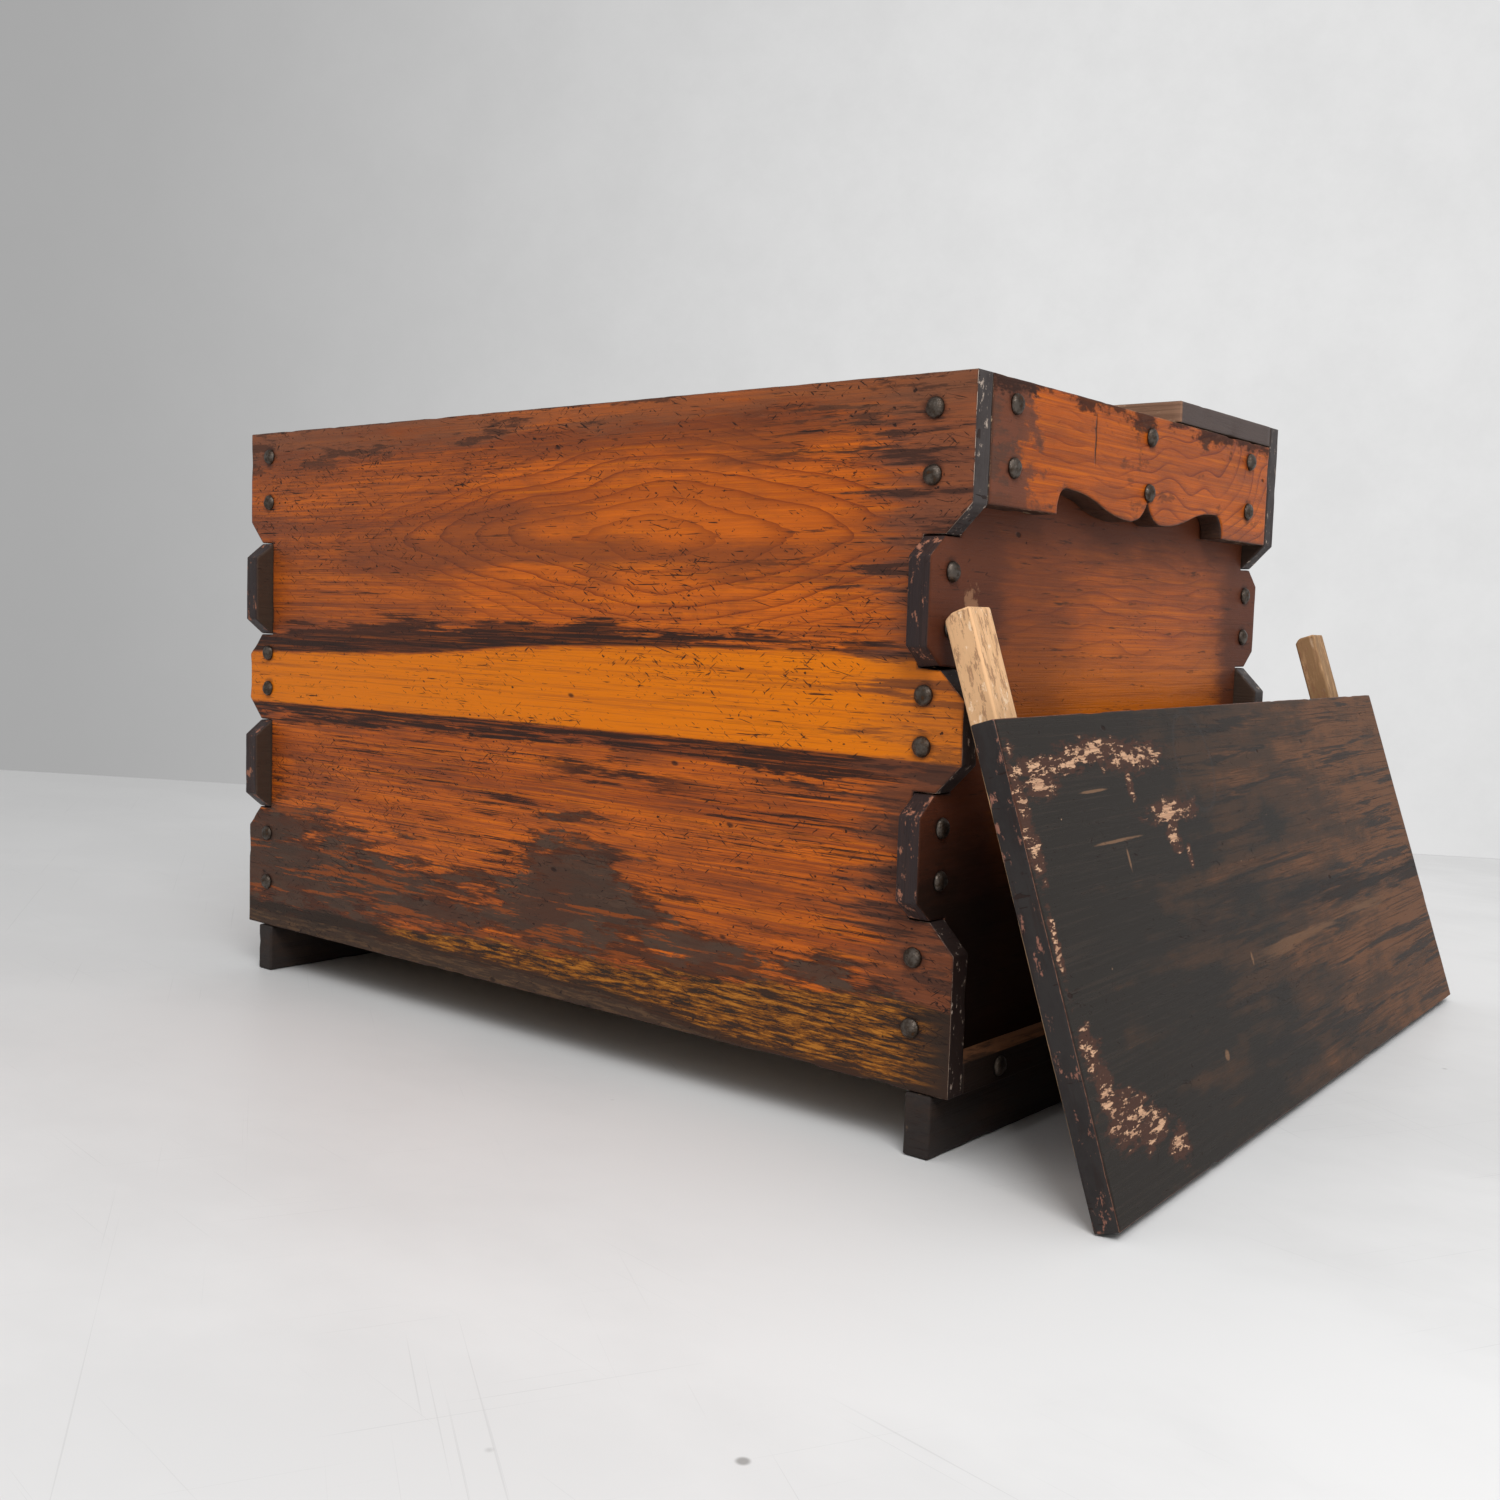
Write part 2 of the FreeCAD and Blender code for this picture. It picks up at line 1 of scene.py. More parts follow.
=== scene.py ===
# %% [markdown]
# # A lacquered grain chest, dressed in Blender
#
# The chest is a nailed box of wide boards. Its long boards end in three square ears, the end panels
# send two fingers out between them, and a carved apron closes the top of each end. The front half of
# the top is a loose lid that leans on the right end.
#
# The construction comes from a fixed frame, in metres. This file adds what a saw and a plane leave
# behind after a hundred years: soft arrises, dents, hammered nail heads, figured wood under a worn
# translucent lacquer, soot and scuffs.

# %% Load the frame
import json
import math
import random

import bmesh
import bpy
from mathutils import Matrix, Vector, noise


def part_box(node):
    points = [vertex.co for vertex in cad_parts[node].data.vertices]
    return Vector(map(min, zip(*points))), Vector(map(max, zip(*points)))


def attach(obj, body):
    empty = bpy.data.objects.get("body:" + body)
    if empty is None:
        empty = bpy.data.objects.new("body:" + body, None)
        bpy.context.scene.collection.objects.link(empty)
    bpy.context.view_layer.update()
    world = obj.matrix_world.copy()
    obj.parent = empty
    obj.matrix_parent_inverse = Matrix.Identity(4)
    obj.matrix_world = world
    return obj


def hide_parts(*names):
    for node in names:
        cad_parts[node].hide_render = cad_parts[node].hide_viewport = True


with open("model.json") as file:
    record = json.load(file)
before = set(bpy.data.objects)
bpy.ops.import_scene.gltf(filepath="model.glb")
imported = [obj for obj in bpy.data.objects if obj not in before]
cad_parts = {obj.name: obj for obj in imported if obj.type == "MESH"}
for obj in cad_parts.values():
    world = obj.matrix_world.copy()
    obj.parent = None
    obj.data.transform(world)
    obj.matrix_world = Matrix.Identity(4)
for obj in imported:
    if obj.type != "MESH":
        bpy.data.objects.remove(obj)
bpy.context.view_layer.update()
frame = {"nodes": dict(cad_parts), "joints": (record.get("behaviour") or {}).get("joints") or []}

MM = 0.001


def linked(name, data):
    """A new object of the scene that holds a mesh, a camera or a lamp."""
    thing = bpy.data.objects.new(name, data)
    bpy.context.scene.collection.objects.link(thing)
    return thing


# %% [markdown]
# ## Where things are
#
# The camera stands at a distance from the right corner, and some finishes have to know where the wood
# ends. So the ends of the ears and the two long faces are read from the frame. The marks of use, such
# as a streak or a patch, are placed one by one.

# %% Lines of the chest
front_low, front_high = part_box("front_board")
RIGHT_EARS = front_high.x
FRONT_FACE, BACK_FACE = front_low.y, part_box("back_board")[1].y
print("ears from", round(front_low.x, 4), "to", round(RIGHT_EARS, 4), "rim at", round(front_high.z, 4))

# %% [markdown]
# The lid leans and is turned a little, so its pieces are made in the lid's own frame. Its Y axis is
# the joint's axis, its X axis is the normal of its largest face, and its corner is the lowest of its
# points along those axes. A Matrix holds all of it, and its inverse takes a point back to the lid.

# %% The lid's own frame
def lid_placement():
    """The matrix from the lid's own frame to the chest's: X out, Y along the lid, Z up the lid."""
    mesh = frame["nodes"]["lid_board"].data
    widest = max(mesh.polygons, key=lambda face: face.area)
    out = widest.normal.copy()
    if out.x < 0:
        out.negate()
    along = Vector(frame["joints"][0]["axis"]).normalized()
    turn = Matrix((out, along, out.cross(along))).transposed()
    seen = [turn.transposed() @ vertex.co for vertex in mesh.vertices]
    corner = Vector([min(point[axis] for point in seen) for axis in range(3)])
    return Matrix.Translation(turn @ corner) @ turn.to_4x4()


LID = lid_placement()
lid_points = [LID.inverted() @ vertex.co for vertex in frame["nodes"]["lid_board"].data.vertices]
print("lid", [round(max(point[axis] for point in lid_points), 4) for axis in range(3)])
print("lean", [round(math.degrees(angle), 2) for angle in LID.to_euler()])

# %% [markdown]
# ## Camera
#
# The camera stands low, about a metre from the right front corner, and rolls by two degrees.
# Its place comes from the edges of the box, whose directions are known. A focal length in pixels
# turns into a lens by the width of the sensor over the width of the frame.

# %% Camera
FRAME_PIXELS = 1500
FOCAL_PIXELS = 1566.58
SENSOR = 36
EYE_BEYOND_EARS = 0.56763
EYE_BEFORE_FRONT = 0.90773
EYE_HIGH = 0.37172
YAW, PITCH, ROLL = math.radians(39.771), math.radians(-4.651), math.radians(1.844)


def aim_camera():
    """A camera matrix from a turn to the left, a tilt up and a roll."""
    ahead = Vector((-math.sin(YAW) * math.cos(PITCH), math.cos(YAW) * math.cos(PITCH), math.sin(PITCH)))
    level = Vector((math.cos(YAW), math.sin(YAW), 0))
    above = level.cross(ahead)
    right = level * math.cos(ROLL) + above * math.sin(ROLL)
    up = above * math.cos(ROLL) - level * math.sin(ROLL)
    return Matrix((right, up, -ahead)).transposed().to_4x4()


camera = linked("camera", bpy.data.cameras.new("camera"))
camera.data.sensor_width = SENSOR
camera.data.lens = SENSOR * FOCAL_PIXELS / FRAME_PIXELS
eye = Vector((RIGHT_EARS + EYE_BEYOND_EARS, FRONT_FACE - EYE_BEFORE_FRONT, EYE_HIGH))
camera.matrix_world = Matrix.Translation(eye) @ aim_camera()
bpy.context.scene.camera = camera
print("camera at", [round(side, 3) for side in eye], "lens", round(camera.data.lens, 2))

# %% [markdown]
# ## A board with soft arrises
#
# A planed board isn't a perfect box. Its edges were eased with a knife, and a century of use has
# bruised them. Each board is cut again from its outline in the frame: the outline becomes one face,
# the face is extruded to the thickness, and a bevel takes the sharpness off. A grid of cuts then gives
# the surface enough points to sag and chip a little. All of the wear goes inwards, so a board never
# grows past its true size. A number called arris is stored on every point, 1 at a worn edge and 0
# three millimetres away, and the finishes read it.

# %% Reading an outline
WELD = 0.005 * MM
LEVEL_WITHIN = 0.1 * MM
STRAIGHT = math.radians(0.5)


def walked(rim):
    """The closed loops that some edges make, each as its corners in order, the same in every run."""
    loops, left = [], dict.fromkeys(rim)
    while left:
        edge = left.popitem()[0]
        start, corner = edge.verts
        loop = [start.co.copy()]
        while corner is not start:
            loop.append(corner.co.copy())
            edge = next(other for other in corner.link_edges if other in left)
            del left[edge]
            corner = edge.other_vert(corner)
        loops.append(loop)
    return loops


def welded(node, placement):
    """A copy of a node's loose triangles, joined, in a board's own frame."""
    shape = bmesh.new()
    shape.from_mesh(frame["nodes"][node].data)
    bmesh.ops.transform(shape, matrix=placement.inverted(), verts=shape.verts)
    bmesh.ops.remove_doubles(shape, verts=shape.verts, dist=WELD)
    return shape


def outline_of(node, axis, placement):
    """The corners of a board's outline on its low side, and how thick it is along that axis."""
    shape = welded(node, placement)
    depths = [vertex.co[axis] for vertex in shape.verts]
    low = min(depths)
    flat = {face for face in shape.faces
            if all(vertex.co[axis] < low + LEVEL_WITHIN for vertex in face.verts)}
    rim = [edge for edge in shape.edges if sum(face in flat for face in edge.link_faces) == 1]
    loops = walked(rim)
    shape.free()
    lengths = [sum((a - b).length for a, b in zip(loop, loop[1:] + loop[:1])) for loop in loops]
    loop = loops[lengths.index(max(lengths))]
    turning = [corner for before, corner, after in zip(loop[-1:] + loop[:-1], loop, loop[1:] + loop[:1])
               if (corner - before).angle(after - corner) > STRAIGHT]
    return turning, max(depths) - low


print("front board has", len(outline_of("front_board", 1, Matrix())[0]), "corners")

# %% [markdown]
# The face is extruded by the operator for single faces, which walks round the face in order, so that
# every run gives the same board. It takes the first face away, and one call puts that back. The bevel
# runs along every edge where two faces meet at more than 25 degrees, so the small steps of a carved
# curve stay smooth. The inset comes before the bevel, because it makes the strip in which the arris
# number falls from 1 to 0.

# %% Cutting the board
SHARP = math.radians(25)
WORN_STRIP = 3 * MM
FLAT = 0.9
GRID = 8 * MM
BEVEL = dict(segments=2, profile=0.5, affect="EDGES", offset_type="OFFSET", material=-1)


def cut(shape, place, normal):
    """Cuts every face that a plane crosses and returns the points on the cut."""
    parts = shape.verts[:] + shape.edges[:] + shape.faces[:]
    made = bmesh.ops.bisect_plane(shape, geom=parts, dist=WELD, plane_co=place, plane_no=normal)
    return [part for part in made["geom_cut"] if isinstance(part, bmesh.types.BMVert)]


def is_sharp(edge):
    return edge.is_manifold and edge.calc_face_angle(0) > SHARP


def runs_through(edge, axis):
    """Whether an edge goes from one face of the board towards the other."""
    return abs(edge.verts[0].co[axis] - edge.verts[1].co[axis]) > WELD


def soft_board(node, axis, placement, easing):
    """A board's solid with eased edges, in its own frame, with its arris numbers."""
    corners, thickness = outline_of(node, axis, placement)
    shape = bmesh.new()
    arris = shape.verts.layers.float.new("arris")
    base = [shape.verts.new(corner) for corner in corners]
    raised = bmesh.ops.extrude_discrete_faces(shape, faces=[shape.faces.new(base)])["faces"][0]
    through = Vector([thickness if side == axis else 0 for side in range(3)])
    bmesh.ops.translate(shape, vec=through, verts=raised.verts[:])
    shape.faces.new(base)
    bmesh.ops.recalc_face_normals(shape, faces=shape.faces)
    caps = [face for face in shape.faces if abs(face.normal[axis]) > FLAT]
    bmesh.ops.inset_individual(shape, faces=caps, thickness=WORN_STRIP, use_even_offset=True)
    for vertex in shape.verts:
        vertex[arris] = 1
    for face in sorted(shape.faces, key=lambda one: one.calc_area())[-2:]:
        for vertex in face.verts:
            vertex[arris] = 0
    for depth in (WORN_STRIP / thickness, 1 - WORN_STRIP / thickness):
        for vertex in cut(shape, corners[0] + through * depth, through.normalized()):
            sharp = any(runs_through(edge, axis) and is_sharp(edge) for edge in vertex.link_edges)
            vertex[arris] = 1 if sharp else 0
    edges = [edge for edge in shape.edges if is_sharp(edge)]
    bmesh.ops.bevel(shape, geom=edges, offset=easing, clamp_overlap=True, loop_slide=True, **BEVEL)
    lows = [min(corner[side] for corner in corners) for side in range(3)]
    highs = [max(corner[side] for corner in corners) for side in range(3)]
    for side in {0, 1, 2} - {axis}:
        normal = Vector([float(other == side) for other in range(3)])
        for count in range(1, int((highs[side] - lows[side]) / GRID) + 1):
            cut(shape, Vector(lows) + normal * (count * GRID - GRID / 2), normal)
    return shape

# %% [markdown]
# Wear is noise with a size. The surface sags by up to a third of a millimetre over a hand's width, an
# arris is rough by up to half a millimetre more, and now and then a chip of a millimetre or two is
# gone.

# %% Wearing the board
SAG, SAG_SIZE = 0.35 * MM, 80 * MM
ROUGH, ROUGH_SIZE = 0.5 * MM, 14 * MM
CHIP, CHIP_SIZE, CHIP_FROM = 4 * MM, 22 * MM, 0.3


def worn(shape):
    """Moves each point inwards along its normal, most on the arrises."""
    arris = shape.verts.layers.float["arris"]
    shape.normal_update()
    for vertex in shape.verts:
        sag = SAG * (0.5 + 0.5 * noise.noise(vertex.co / SAG_SIZE))
        rough = ROUGH * (0.5 + 0.5 * noise.noise(vertex.co / ROUGH_SIZE))
        chip = CHIP * max(0, noise.noise(vertex.co / CHIP_SIZE) - CHIP_FROM)
        vertex.co -= vertex.normal * (sag + vertex[arris] * (rough + chip))

# %% [markdown]
# One mesh can carry several finishes. The side that faces outwards is lacquered, the sawn ends and
# edges show end grain, and the inside was never finished at all.

# %% Board to object
OUTSIDE, EDGE, INSIDE = range(3)
FACING_SIDE = 0.7


def as_object(name, shape, placement, finishes):
    """An object at the origin with its place in its mesh."""
    mesh = bpy.data.meshes.new(name)
    bmesh.ops.transform(shape, matrix=placement, verts=shape.verts)
    bmesh.ops.recalc_face_normals(shape, faces=shape.faces)
    for face in shape.faces:
        face.smooth = True
    shape.to_mesh(mesh)
    shape.free()
    for finish in finishes:
        mesh.materials.append(finish)
    return linked(name, mesh)


def dress_board(node, axis, outward, finishes, body="chest", placement=Matrix(), easing=1.3 * MM):
    """Replaces a board of the frame by its worn copy. outward is +1 or -1 along the board's axis."""
    shape = soft_board(node, axis, placement, easing)
    shape.normal_update()
    for face in shape.faces:
        facing = face.normal[axis] * outward
        face.material_index = OUTSIDE if facing > FACING_SIDE else INSIDE if facing < -FACING_SIDE else EDGE
    worn(shape)
    piece = as_object(node + "_worn", shape, placement, finishes)
    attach(piece, body)
    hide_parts(node)
    print(piece.name, len(piece.data.polygons), "faces")
    return piece

# %% [markdown]
# ## Nails
#
# Every nail is hand forged. A domed head starts as a sphere, is cut in half, and is then hammered: a
# blow flattens whatever stands out past it. The blows are random but seeded, so no two heads are the
# same and every run is. The places and sizes come from the nails of the frame, which are found as
# separate islands of points.

# %% Finding the nails
def islands(shape):
    """The separate groups of joined points, in the same order in every run."""
    left = dict.fromkeys(shape.verts)
    while left:
        group = [left.popitem()[0]]
        for vertex in group:
            for near in (edge.other_vert(vertex) for edge in vertex.link_edges):
                if near in left:
                    del left[near]
                    group.append(near)
        yield [vertex.co.copy() for vertex in group]


RIM_SHARE = 0.45


class Nail:
    """Where a nail is: its seat under the head, the way it points out, and the size of its head."""

    def __init__(self, points, placement):
        sides = [[point[axis] for point in points] for axis in range(3)]
        spans = [max(side) - min(side) for side in sides]
        self.axis = spans.index(max(spans))
        self.length = max(spans)
        middle = [(max(side) + min(side)) / 2 for side in sides]
        heavy = sum(sides[self.axis]) / len(points)
        self.sign = 1 if heavy > middle[self.axis] else -1
        self.width = max(span for axis, span in enumerate(spans) if axis != self.axis)
        self.top = Vector(middle)
        self.top[self.axis] += self.sign * self.length / 2
        wide = [point for point in points if self.off_axis(point) > RIM_SHARE * self.width]
        self.head = max((self.top - point)[self.axis] * self.sign for point in wide)
        self.placement = placement

    def off_axis(self, point):
        aside = point - self.top
        aside[self.axis] = 0
        return aside.length

    def matrix(self, turn):
        """Stands a nail that was made upright, with its seat at the origin, in its place."""
        out = Vector([self.sign if axis == self.axis else 0 for axis in range(3)])
        upright = out.to_track_quat("Z", "Y").to_matrix().to_4x4()
        seat = self.top - out * self.head
        return self.placement @ Matrix.Translation(seat) @ upright @ Matrix.Rotation(turn, 4, "Z")


def nails_of(node, placement=Matrix()):
    """The nails of a node of the frame, sorted by where their heads are."""
    shape = welded(node, placement)
    found = [Nail(points, placement) for points in islands(shape)]
    shape.free()
    return sorted(found, key=lambda nail: tuple(nail.top))


print("front nails", len(nails_of("front_nails")), "head", round(nails_of("front_nails")[0].width, 4))

# %% [markdown]
# The shank is square and tapers to its point, as a nail maker draws it out. A flush nail has a small
# square head driven level with the wood.

# %% Forging the nails
BLOWS = (5, 9)
BLOW_TILT, BLOW_DEPTH, BLOW_FORCE = (8, 68), (0.86, 0.97), 0.8
SHANK_WIDE, SHANK_TIP = 4 * MM, 1.4 * MM
FLUSH_EASING = 0.4 * MM
QUARTERS = (0, 1, 2, 3)


def hammered(points, chance, blows):
    """Flattens the points that stand out past each blow."""
    for _ in range(blows):
        tilt, turn = math.radians(chance.uniform(*BLOW_TILT)), chance.uniform(0, 2 * math.pi)
        out = Vector((math.sin(tilt) * math.cos(turn), math.sin(tilt) * math.sin(turn), math.cos(tilt)))
        depth = chance.uniform(*BLOW_DEPTH)
        for vertex in points:
            over = vertex.co.dot(out) - depth
            if over > 0:
                vertex.co -= out * over * BLOW_FORCE


def domed_head(nail, chance):
    """A hammered half sphere, as wide and as high as the head in the frame."""
    shape = bmesh.new()
    bmesh.ops.create_uvsphere(shape, u_segments=28, v_segments=18, radius=1)
    parts = shape.verts[:] + shape.edges[:] + shape.faces[:]
    bmesh.ops.bisect_plane(shape, geom=parts, dist=0.001, plane_co=(0, 0, 0), plane_no=(0, 0, 1),
                           clear_inner=True)
    bmesh.ops.holes_fill(shape, edges=[edge for edge in shape.edges if edge.is_boundary], sides=0)
    hammered(shape.verts, chance, chance.randint(*BLOWS))
    stretch = (nail.width / 2, nail.width / 2, nail.head)
    bmesh.ops.scale(shape, vec=stretch, verts=shape.verts)
    return shape


def flush_head(nail, chance):
    """A flat square head with soft corners, level with the frame's. Nothing in it is left to chance."""
    shape = bmesh.new()
    bmesh.ops.create_cube(shape, size=1)
    bmesh.ops.scale(shape, vec=(nail.width, nail.width, nail.head), verts=shape.verts)
    bmesh.ops.translate(shape, vec=(0, 0, nail.head / 2), verts=shape.verts)
    bmesh.ops.bevel(shape, geom=shape.edges[:], offset=FLUSH_EASING, **BEVEL)
    return shape


def forge(node, make_head, body="chest", placement=Matrix()):
    """All the nails of a node of the frame, as one object."""
    chance = random.Random(node)
    whole = bmesh.new()
    found = nails_of(node, placement)
    for nail in found:
        shape = make_head(nail, chance)
        shank = bmesh.ops.create_cone(shape, cap_ends=True, segments=4, radius1=SHANK_TIP / 2,
                                      radius2=SHANK_WIDE / 2, depth=nail.length - nail.head)["verts"]
        bmesh.ops.translate(shape, vec=(0, 0, (nail.head - nail.length) / 2), verts=shank)
        turned = nail.matrix(chance.choice(QUARTERS) * math.pi / 2)
        bmesh.ops.transform(shape, matrix=turned, verts=shape.verts)
        one = bpy.data.meshes.new("nail")
        shape.to_mesh(one)
        shape.free()
        whole.from_mesh(one)
        bpy.data.meshes.remove(one)
    piece = as_object(node + "_forged", whole, Matrix(), [IRON])
    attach(piece, body)
    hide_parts(node)
    print(piece.name, len(found), "nails")
    return piece

# %% [markdown]
# ## A builder for finishes
#
# A worn finish is a sum of many simple masks: where it is streaked, where it is sooty, where it has
# flaked. Nodes do that well, but they are slow to read when every sum is a node made by hand. A Field
# stands for one number over the surface, such as a height or a noise, and the signs + - * make the
# Math nodes. A Finish holds the colour, the roughness and the height of the surface while layers are
# laid over each other, as a painter lays coats.

# %% Field
class Field:
    """A number that changes over a surface. Arithmetic with it adds Math nodes."""

    def __init__(self, finish, socket):
        self.finish, self.socket = finish, socket

    def __add__(self, other):
        return self.finish.maths("ADD", self, other)

    def __sub__(self, other):
        return self.finish.maths("SUBTRACT", self, other)

    def __rsub__(self, other):
        return self.finish.maths("SUBTRACT", other, self)

    def __mul__(self, other):
        return self.finish.maths("MULTIPLY", self, other)

    def __abs__(self):
        return self.finish.maths("ABSOLUTE", self)

    __radd__, __rmul__ = __add__, __mul__

    def least(self, other):
        return self.finish.maths("MINIMUM", self, other)

    def most(self, other):
        return self.finish.maths("MAXIMUM", self, other)

    def beyond(self, edge, soft):
        """1 where the field is past an edge, 0 before it, and a smooth step of that softness between."""
        return self.finish.step(self, edge, soft)

# %% [markdown]
# The finish reads Object coordinates, which on this chest are metres from the middle of its foot. They
# are put in a board's own order, across, up and through, so that one recipe for wood fits a long
# board, an end or the leaning lid. A Mapping node of type Texture undoes the lean of the lid.

# %% Finish
class Finish:
    """One material: its nodes, and the colour, roughness and height laid so far."""

    def __init__(self, name, order, placement=None, seed=0.0):
        self.material = bpy.data.materials.new(name)
        self.material.use_nodes = True
        self.tree = self.material.node_tree
        self.surface = self.tree.nodes["Principled BSDF"]
        self.seed = seed
        place = self.node("ShaderNodeTexCoord").outputs["Object"]
        if placement:
            turn = self.node("ShaderNodeMapping", vector_type="TEXTURE")
            turn.inputs["Location"].default_value = placement.to_translation()
            turn.inputs["Rotation"].default_value = placement.to_euler()
            self.feed(turn.inputs["Vector"], place)
            place = turn.outputs["Vector"]
        parts = self.node("ShaderNodeSeparateXYZ")
        self.feed(parts.inputs[0], place)
        self.across, self.up, self.through = (Field(self, parts.outputs[axis.upper()]) for axis in order)
        self.colour, self.rough, self.height = None, None, None
        arris = self.node("ShaderNodeAttribute", attribute_name="arris")
        self.arris = Field(self, arris.outputs["Fac"])

    def node(self, kind, **settings):
        made = self.tree.nodes.new(kind)
        for name, value in settings.items():
            setattr(made, name, value)
        return made

    def feed(self, socket, value):
        """A socket takes a Field, another socket, or a plain value."""
        value = value.socket if isinstance(value, Field) else value
        if isinstance(value, bpy.types.NodeSocket):
            self.tree.links.new(value, socket)
        else:
            socket.default_value = value

    def maths(self, operation, *values):
        made = self.node("ShaderNodeMath", operation=operation)
        for socket, value in zip(made.inputs, values):
            self.feed(socket, value)
        return Field(self, made.outputs[0])

    def step(self, value, edge, soft):
        made = self.node("ShaderNodeMapRange", interpolation_type="SMOOTHSTEP")
        self.feed(made.inputs["Value"], value)
        self.feed(made.inputs["From Min"], edge - soft)
        self.feed(made.inputs["From Max"], edge + soft)
        return Field(self, made.outputs["Result"])

    def between(self, value, low, high, soft):
        """1 where a field lies between two edges."""
        return self.step(value, low, soft) * (1 - self.step(value, high, soft))

# %% [markdown]
# Noise is stretched by dividing each coordinate by the length that one patch should have there. Wood
# fibres are patches 100 to 260 mm long and 2 or 3 mm high. Voronoi cells give sparse marks: each cell
# has one dent near its middle, and a random number that says whether it shows.

# %% Patterns
def place_of(finish, size, turn=0.0):
    """The board's coordinates, turned in its plane and divided by a patch's size."""
    joined = finish.node("ShaderNodeCombineXYZ")
    for socket, part in zip(joined.inputs, (finish.across, finish.up, finish.through)):
        finish.feed(socket, part)
    turned = finish.node("ShaderNodeMapping")
    turned.inputs["Rotation"].default_value = (0, 0, math.radians(turn))
    finish.feed(turned.inputs["Vector"], joined.outputs[0])
    scaled = finish.node("ShaderNodeMapping")
    scaled.inputs["Scale"].default_value = [1 / side for side in size]
    finish.seed += 17.3
    scaled.inputs["Location"].default_value = (finish.seed, finish.seed * 0.7, finish.seed * 0.3)
    finish.feed(scaled.inputs["Vector"], turned.outputs[0])
    return scaled.outputs[0]


def clouds(finish, size, detail=4, rough=0.55, twist=0.0, turn=0.0):
    """Noise from 0 to 1, about 0.5 in the middle; size is a patch's length across, up and through."""
    made = finish.node("ShaderNodeTexNoise")
    finish.feed(made.inputs["Vector"], place_of(finish, size, turn))
    for name, value in (("Scale", 1), ("Detail", detail), ("Roughness", rough), ("Distortion", twist)):
        made.inputs[name].default_value = value
    return Field(finish, made.outputs[0])


def marks(finish, cell, width, share, turn=0.0):
    """Sparse dashes: one in each Voronoi cell, width is its share of the cell, some are left out."""
    made = finish.node("ShaderNodeTexVoronoi")
    flat = finish.node("ShaderNodeVectorMath", operation="MULTIPLY")
    finish.feed(flat.inputs[0], place_of(finish, (cell[0], cell[1], 1), turn))
    flat.inputs[1].default_value = (1, 1, 0)
    finish.feed(made.inputs["Vector"], flat.outputs[0])
    made.inputs["Scale"].default_value = 1
    parts = finish.node("ShaderNodeSeparateXYZ")
    finish.feed(parts.inputs[0], made.outputs["Color"])
    near = 1 - finish.step(Field(finish, made.outputs["Distance"]), width, width * 0.4)
    shown = 1 - finish.step(Field(finish, parts.outputs[0]), share, 0.01)
    return near * shown


def spot(finish, across, up, wide, high):
    """How far a point lies from the middle of a patch: 0 at its middle, 1 at its edge."""
    aside, above = (finish.across - across) * (1 / wide), (finish.up - up) * (1 / high)
    return finish.maths("SQRT", aside * aside + above * above)


def contour(finish, points):
    """A height that follows a drawn line, given as points of across and up, in millimetres."""
    start, end = points[0][0] * MM, points[-1][0] * MM
    heights = [up * MM for _, up in points]
    low, high = min(heights), max(heights)
    share = (finish.across - start) * (1 / (end - start))
    made = finish.node("ShaderNodeFloatCurve")
    curve = made.mapping.curves[0]
    shares = [((across * MM - start) / (end - start), (up * MM - low) / (high - low))
              for across, up in points]
    for place in shares[1:-1]:
        curve.points.new(0.5, 0.5).location = place
    curve.points[0].location = shares[0]
    curve.points[len(points) - 1].location = shares[-1]
    made.mapping.update()
    finish.feed(made.inputs["Value"], share.least(1).most(0))
    return Field(finish, made.outputs[0]) * (high - low) + low

# %% [markdown]
# A coat is a colour and a roughness laid through a mask. Sinking lowers the height, in metres, and one
# Bump node turns the height into the shading of scratches and grain. What is the same all over, such
# as the strength of the shine, stays on the shader's own sockets.

# %% Layers
def blend(finish, kind, mask, under, over):
    made = finish.node("ShaderNodeMix", data_type=kind)
    first, second, out = (6, 7, 2) if kind == "RGBA" else (2, 3, 0)
    finish.feed(made.inputs[0], mask)
    finish.feed(made.inputs[first], under)
    finish.feed(made.inputs[second], over)
    return made.outputs[out]


def coat(finish, mask, colour, rough=None):
    """Lays a colour, and a roughness if one is given, where the mask is 1."""
    if finish.colour is None:
        finish.colour, finish.rough = (*colour, 1), rough
        return
    finish.colour = blend(finish, "RGBA", mask, finish.colour, (*colour, 1))
    if rough is not None:
        finish.rough = blend(finish, "FLOAT", mask, finish.rough, rough)


def sink(finish, mask, depth):
    """Lowers the surface by a depth in metres where the mask is 1."""
    lowered = mask * (-depth)
    finish.height = lowered if finish.height is None else finish.height + lowered


def finished(finish, shine=0.5, metal=0.0):
    """Joins the layers to the shader and returns the material."""
    finish.feed(finish.surface.inputs["Base Color"], finish.colour)
    finish.feed(finish.surface.inputs["Roughness"], finish.rough)
    finish.surface.inputs["Specular IOR Level"].default_value = shine
    finish.surface.inputs["Metallic"].default_value = metal
    if finish.height is not None:
        bump = finish.node("ShaderNodeBump")
        bump.inputs["Strength"].default_value = 1
        bump.inputs["Distance"].default_value = 1
        finish.feed(bump.inputs["Height"], finish.height)
        finish.feed(finish.surface.inputs["Normal"], bump.outputs[0])
    print(finish.material.name, len(finish.tree.nodes), "nodes")
    return finish.material


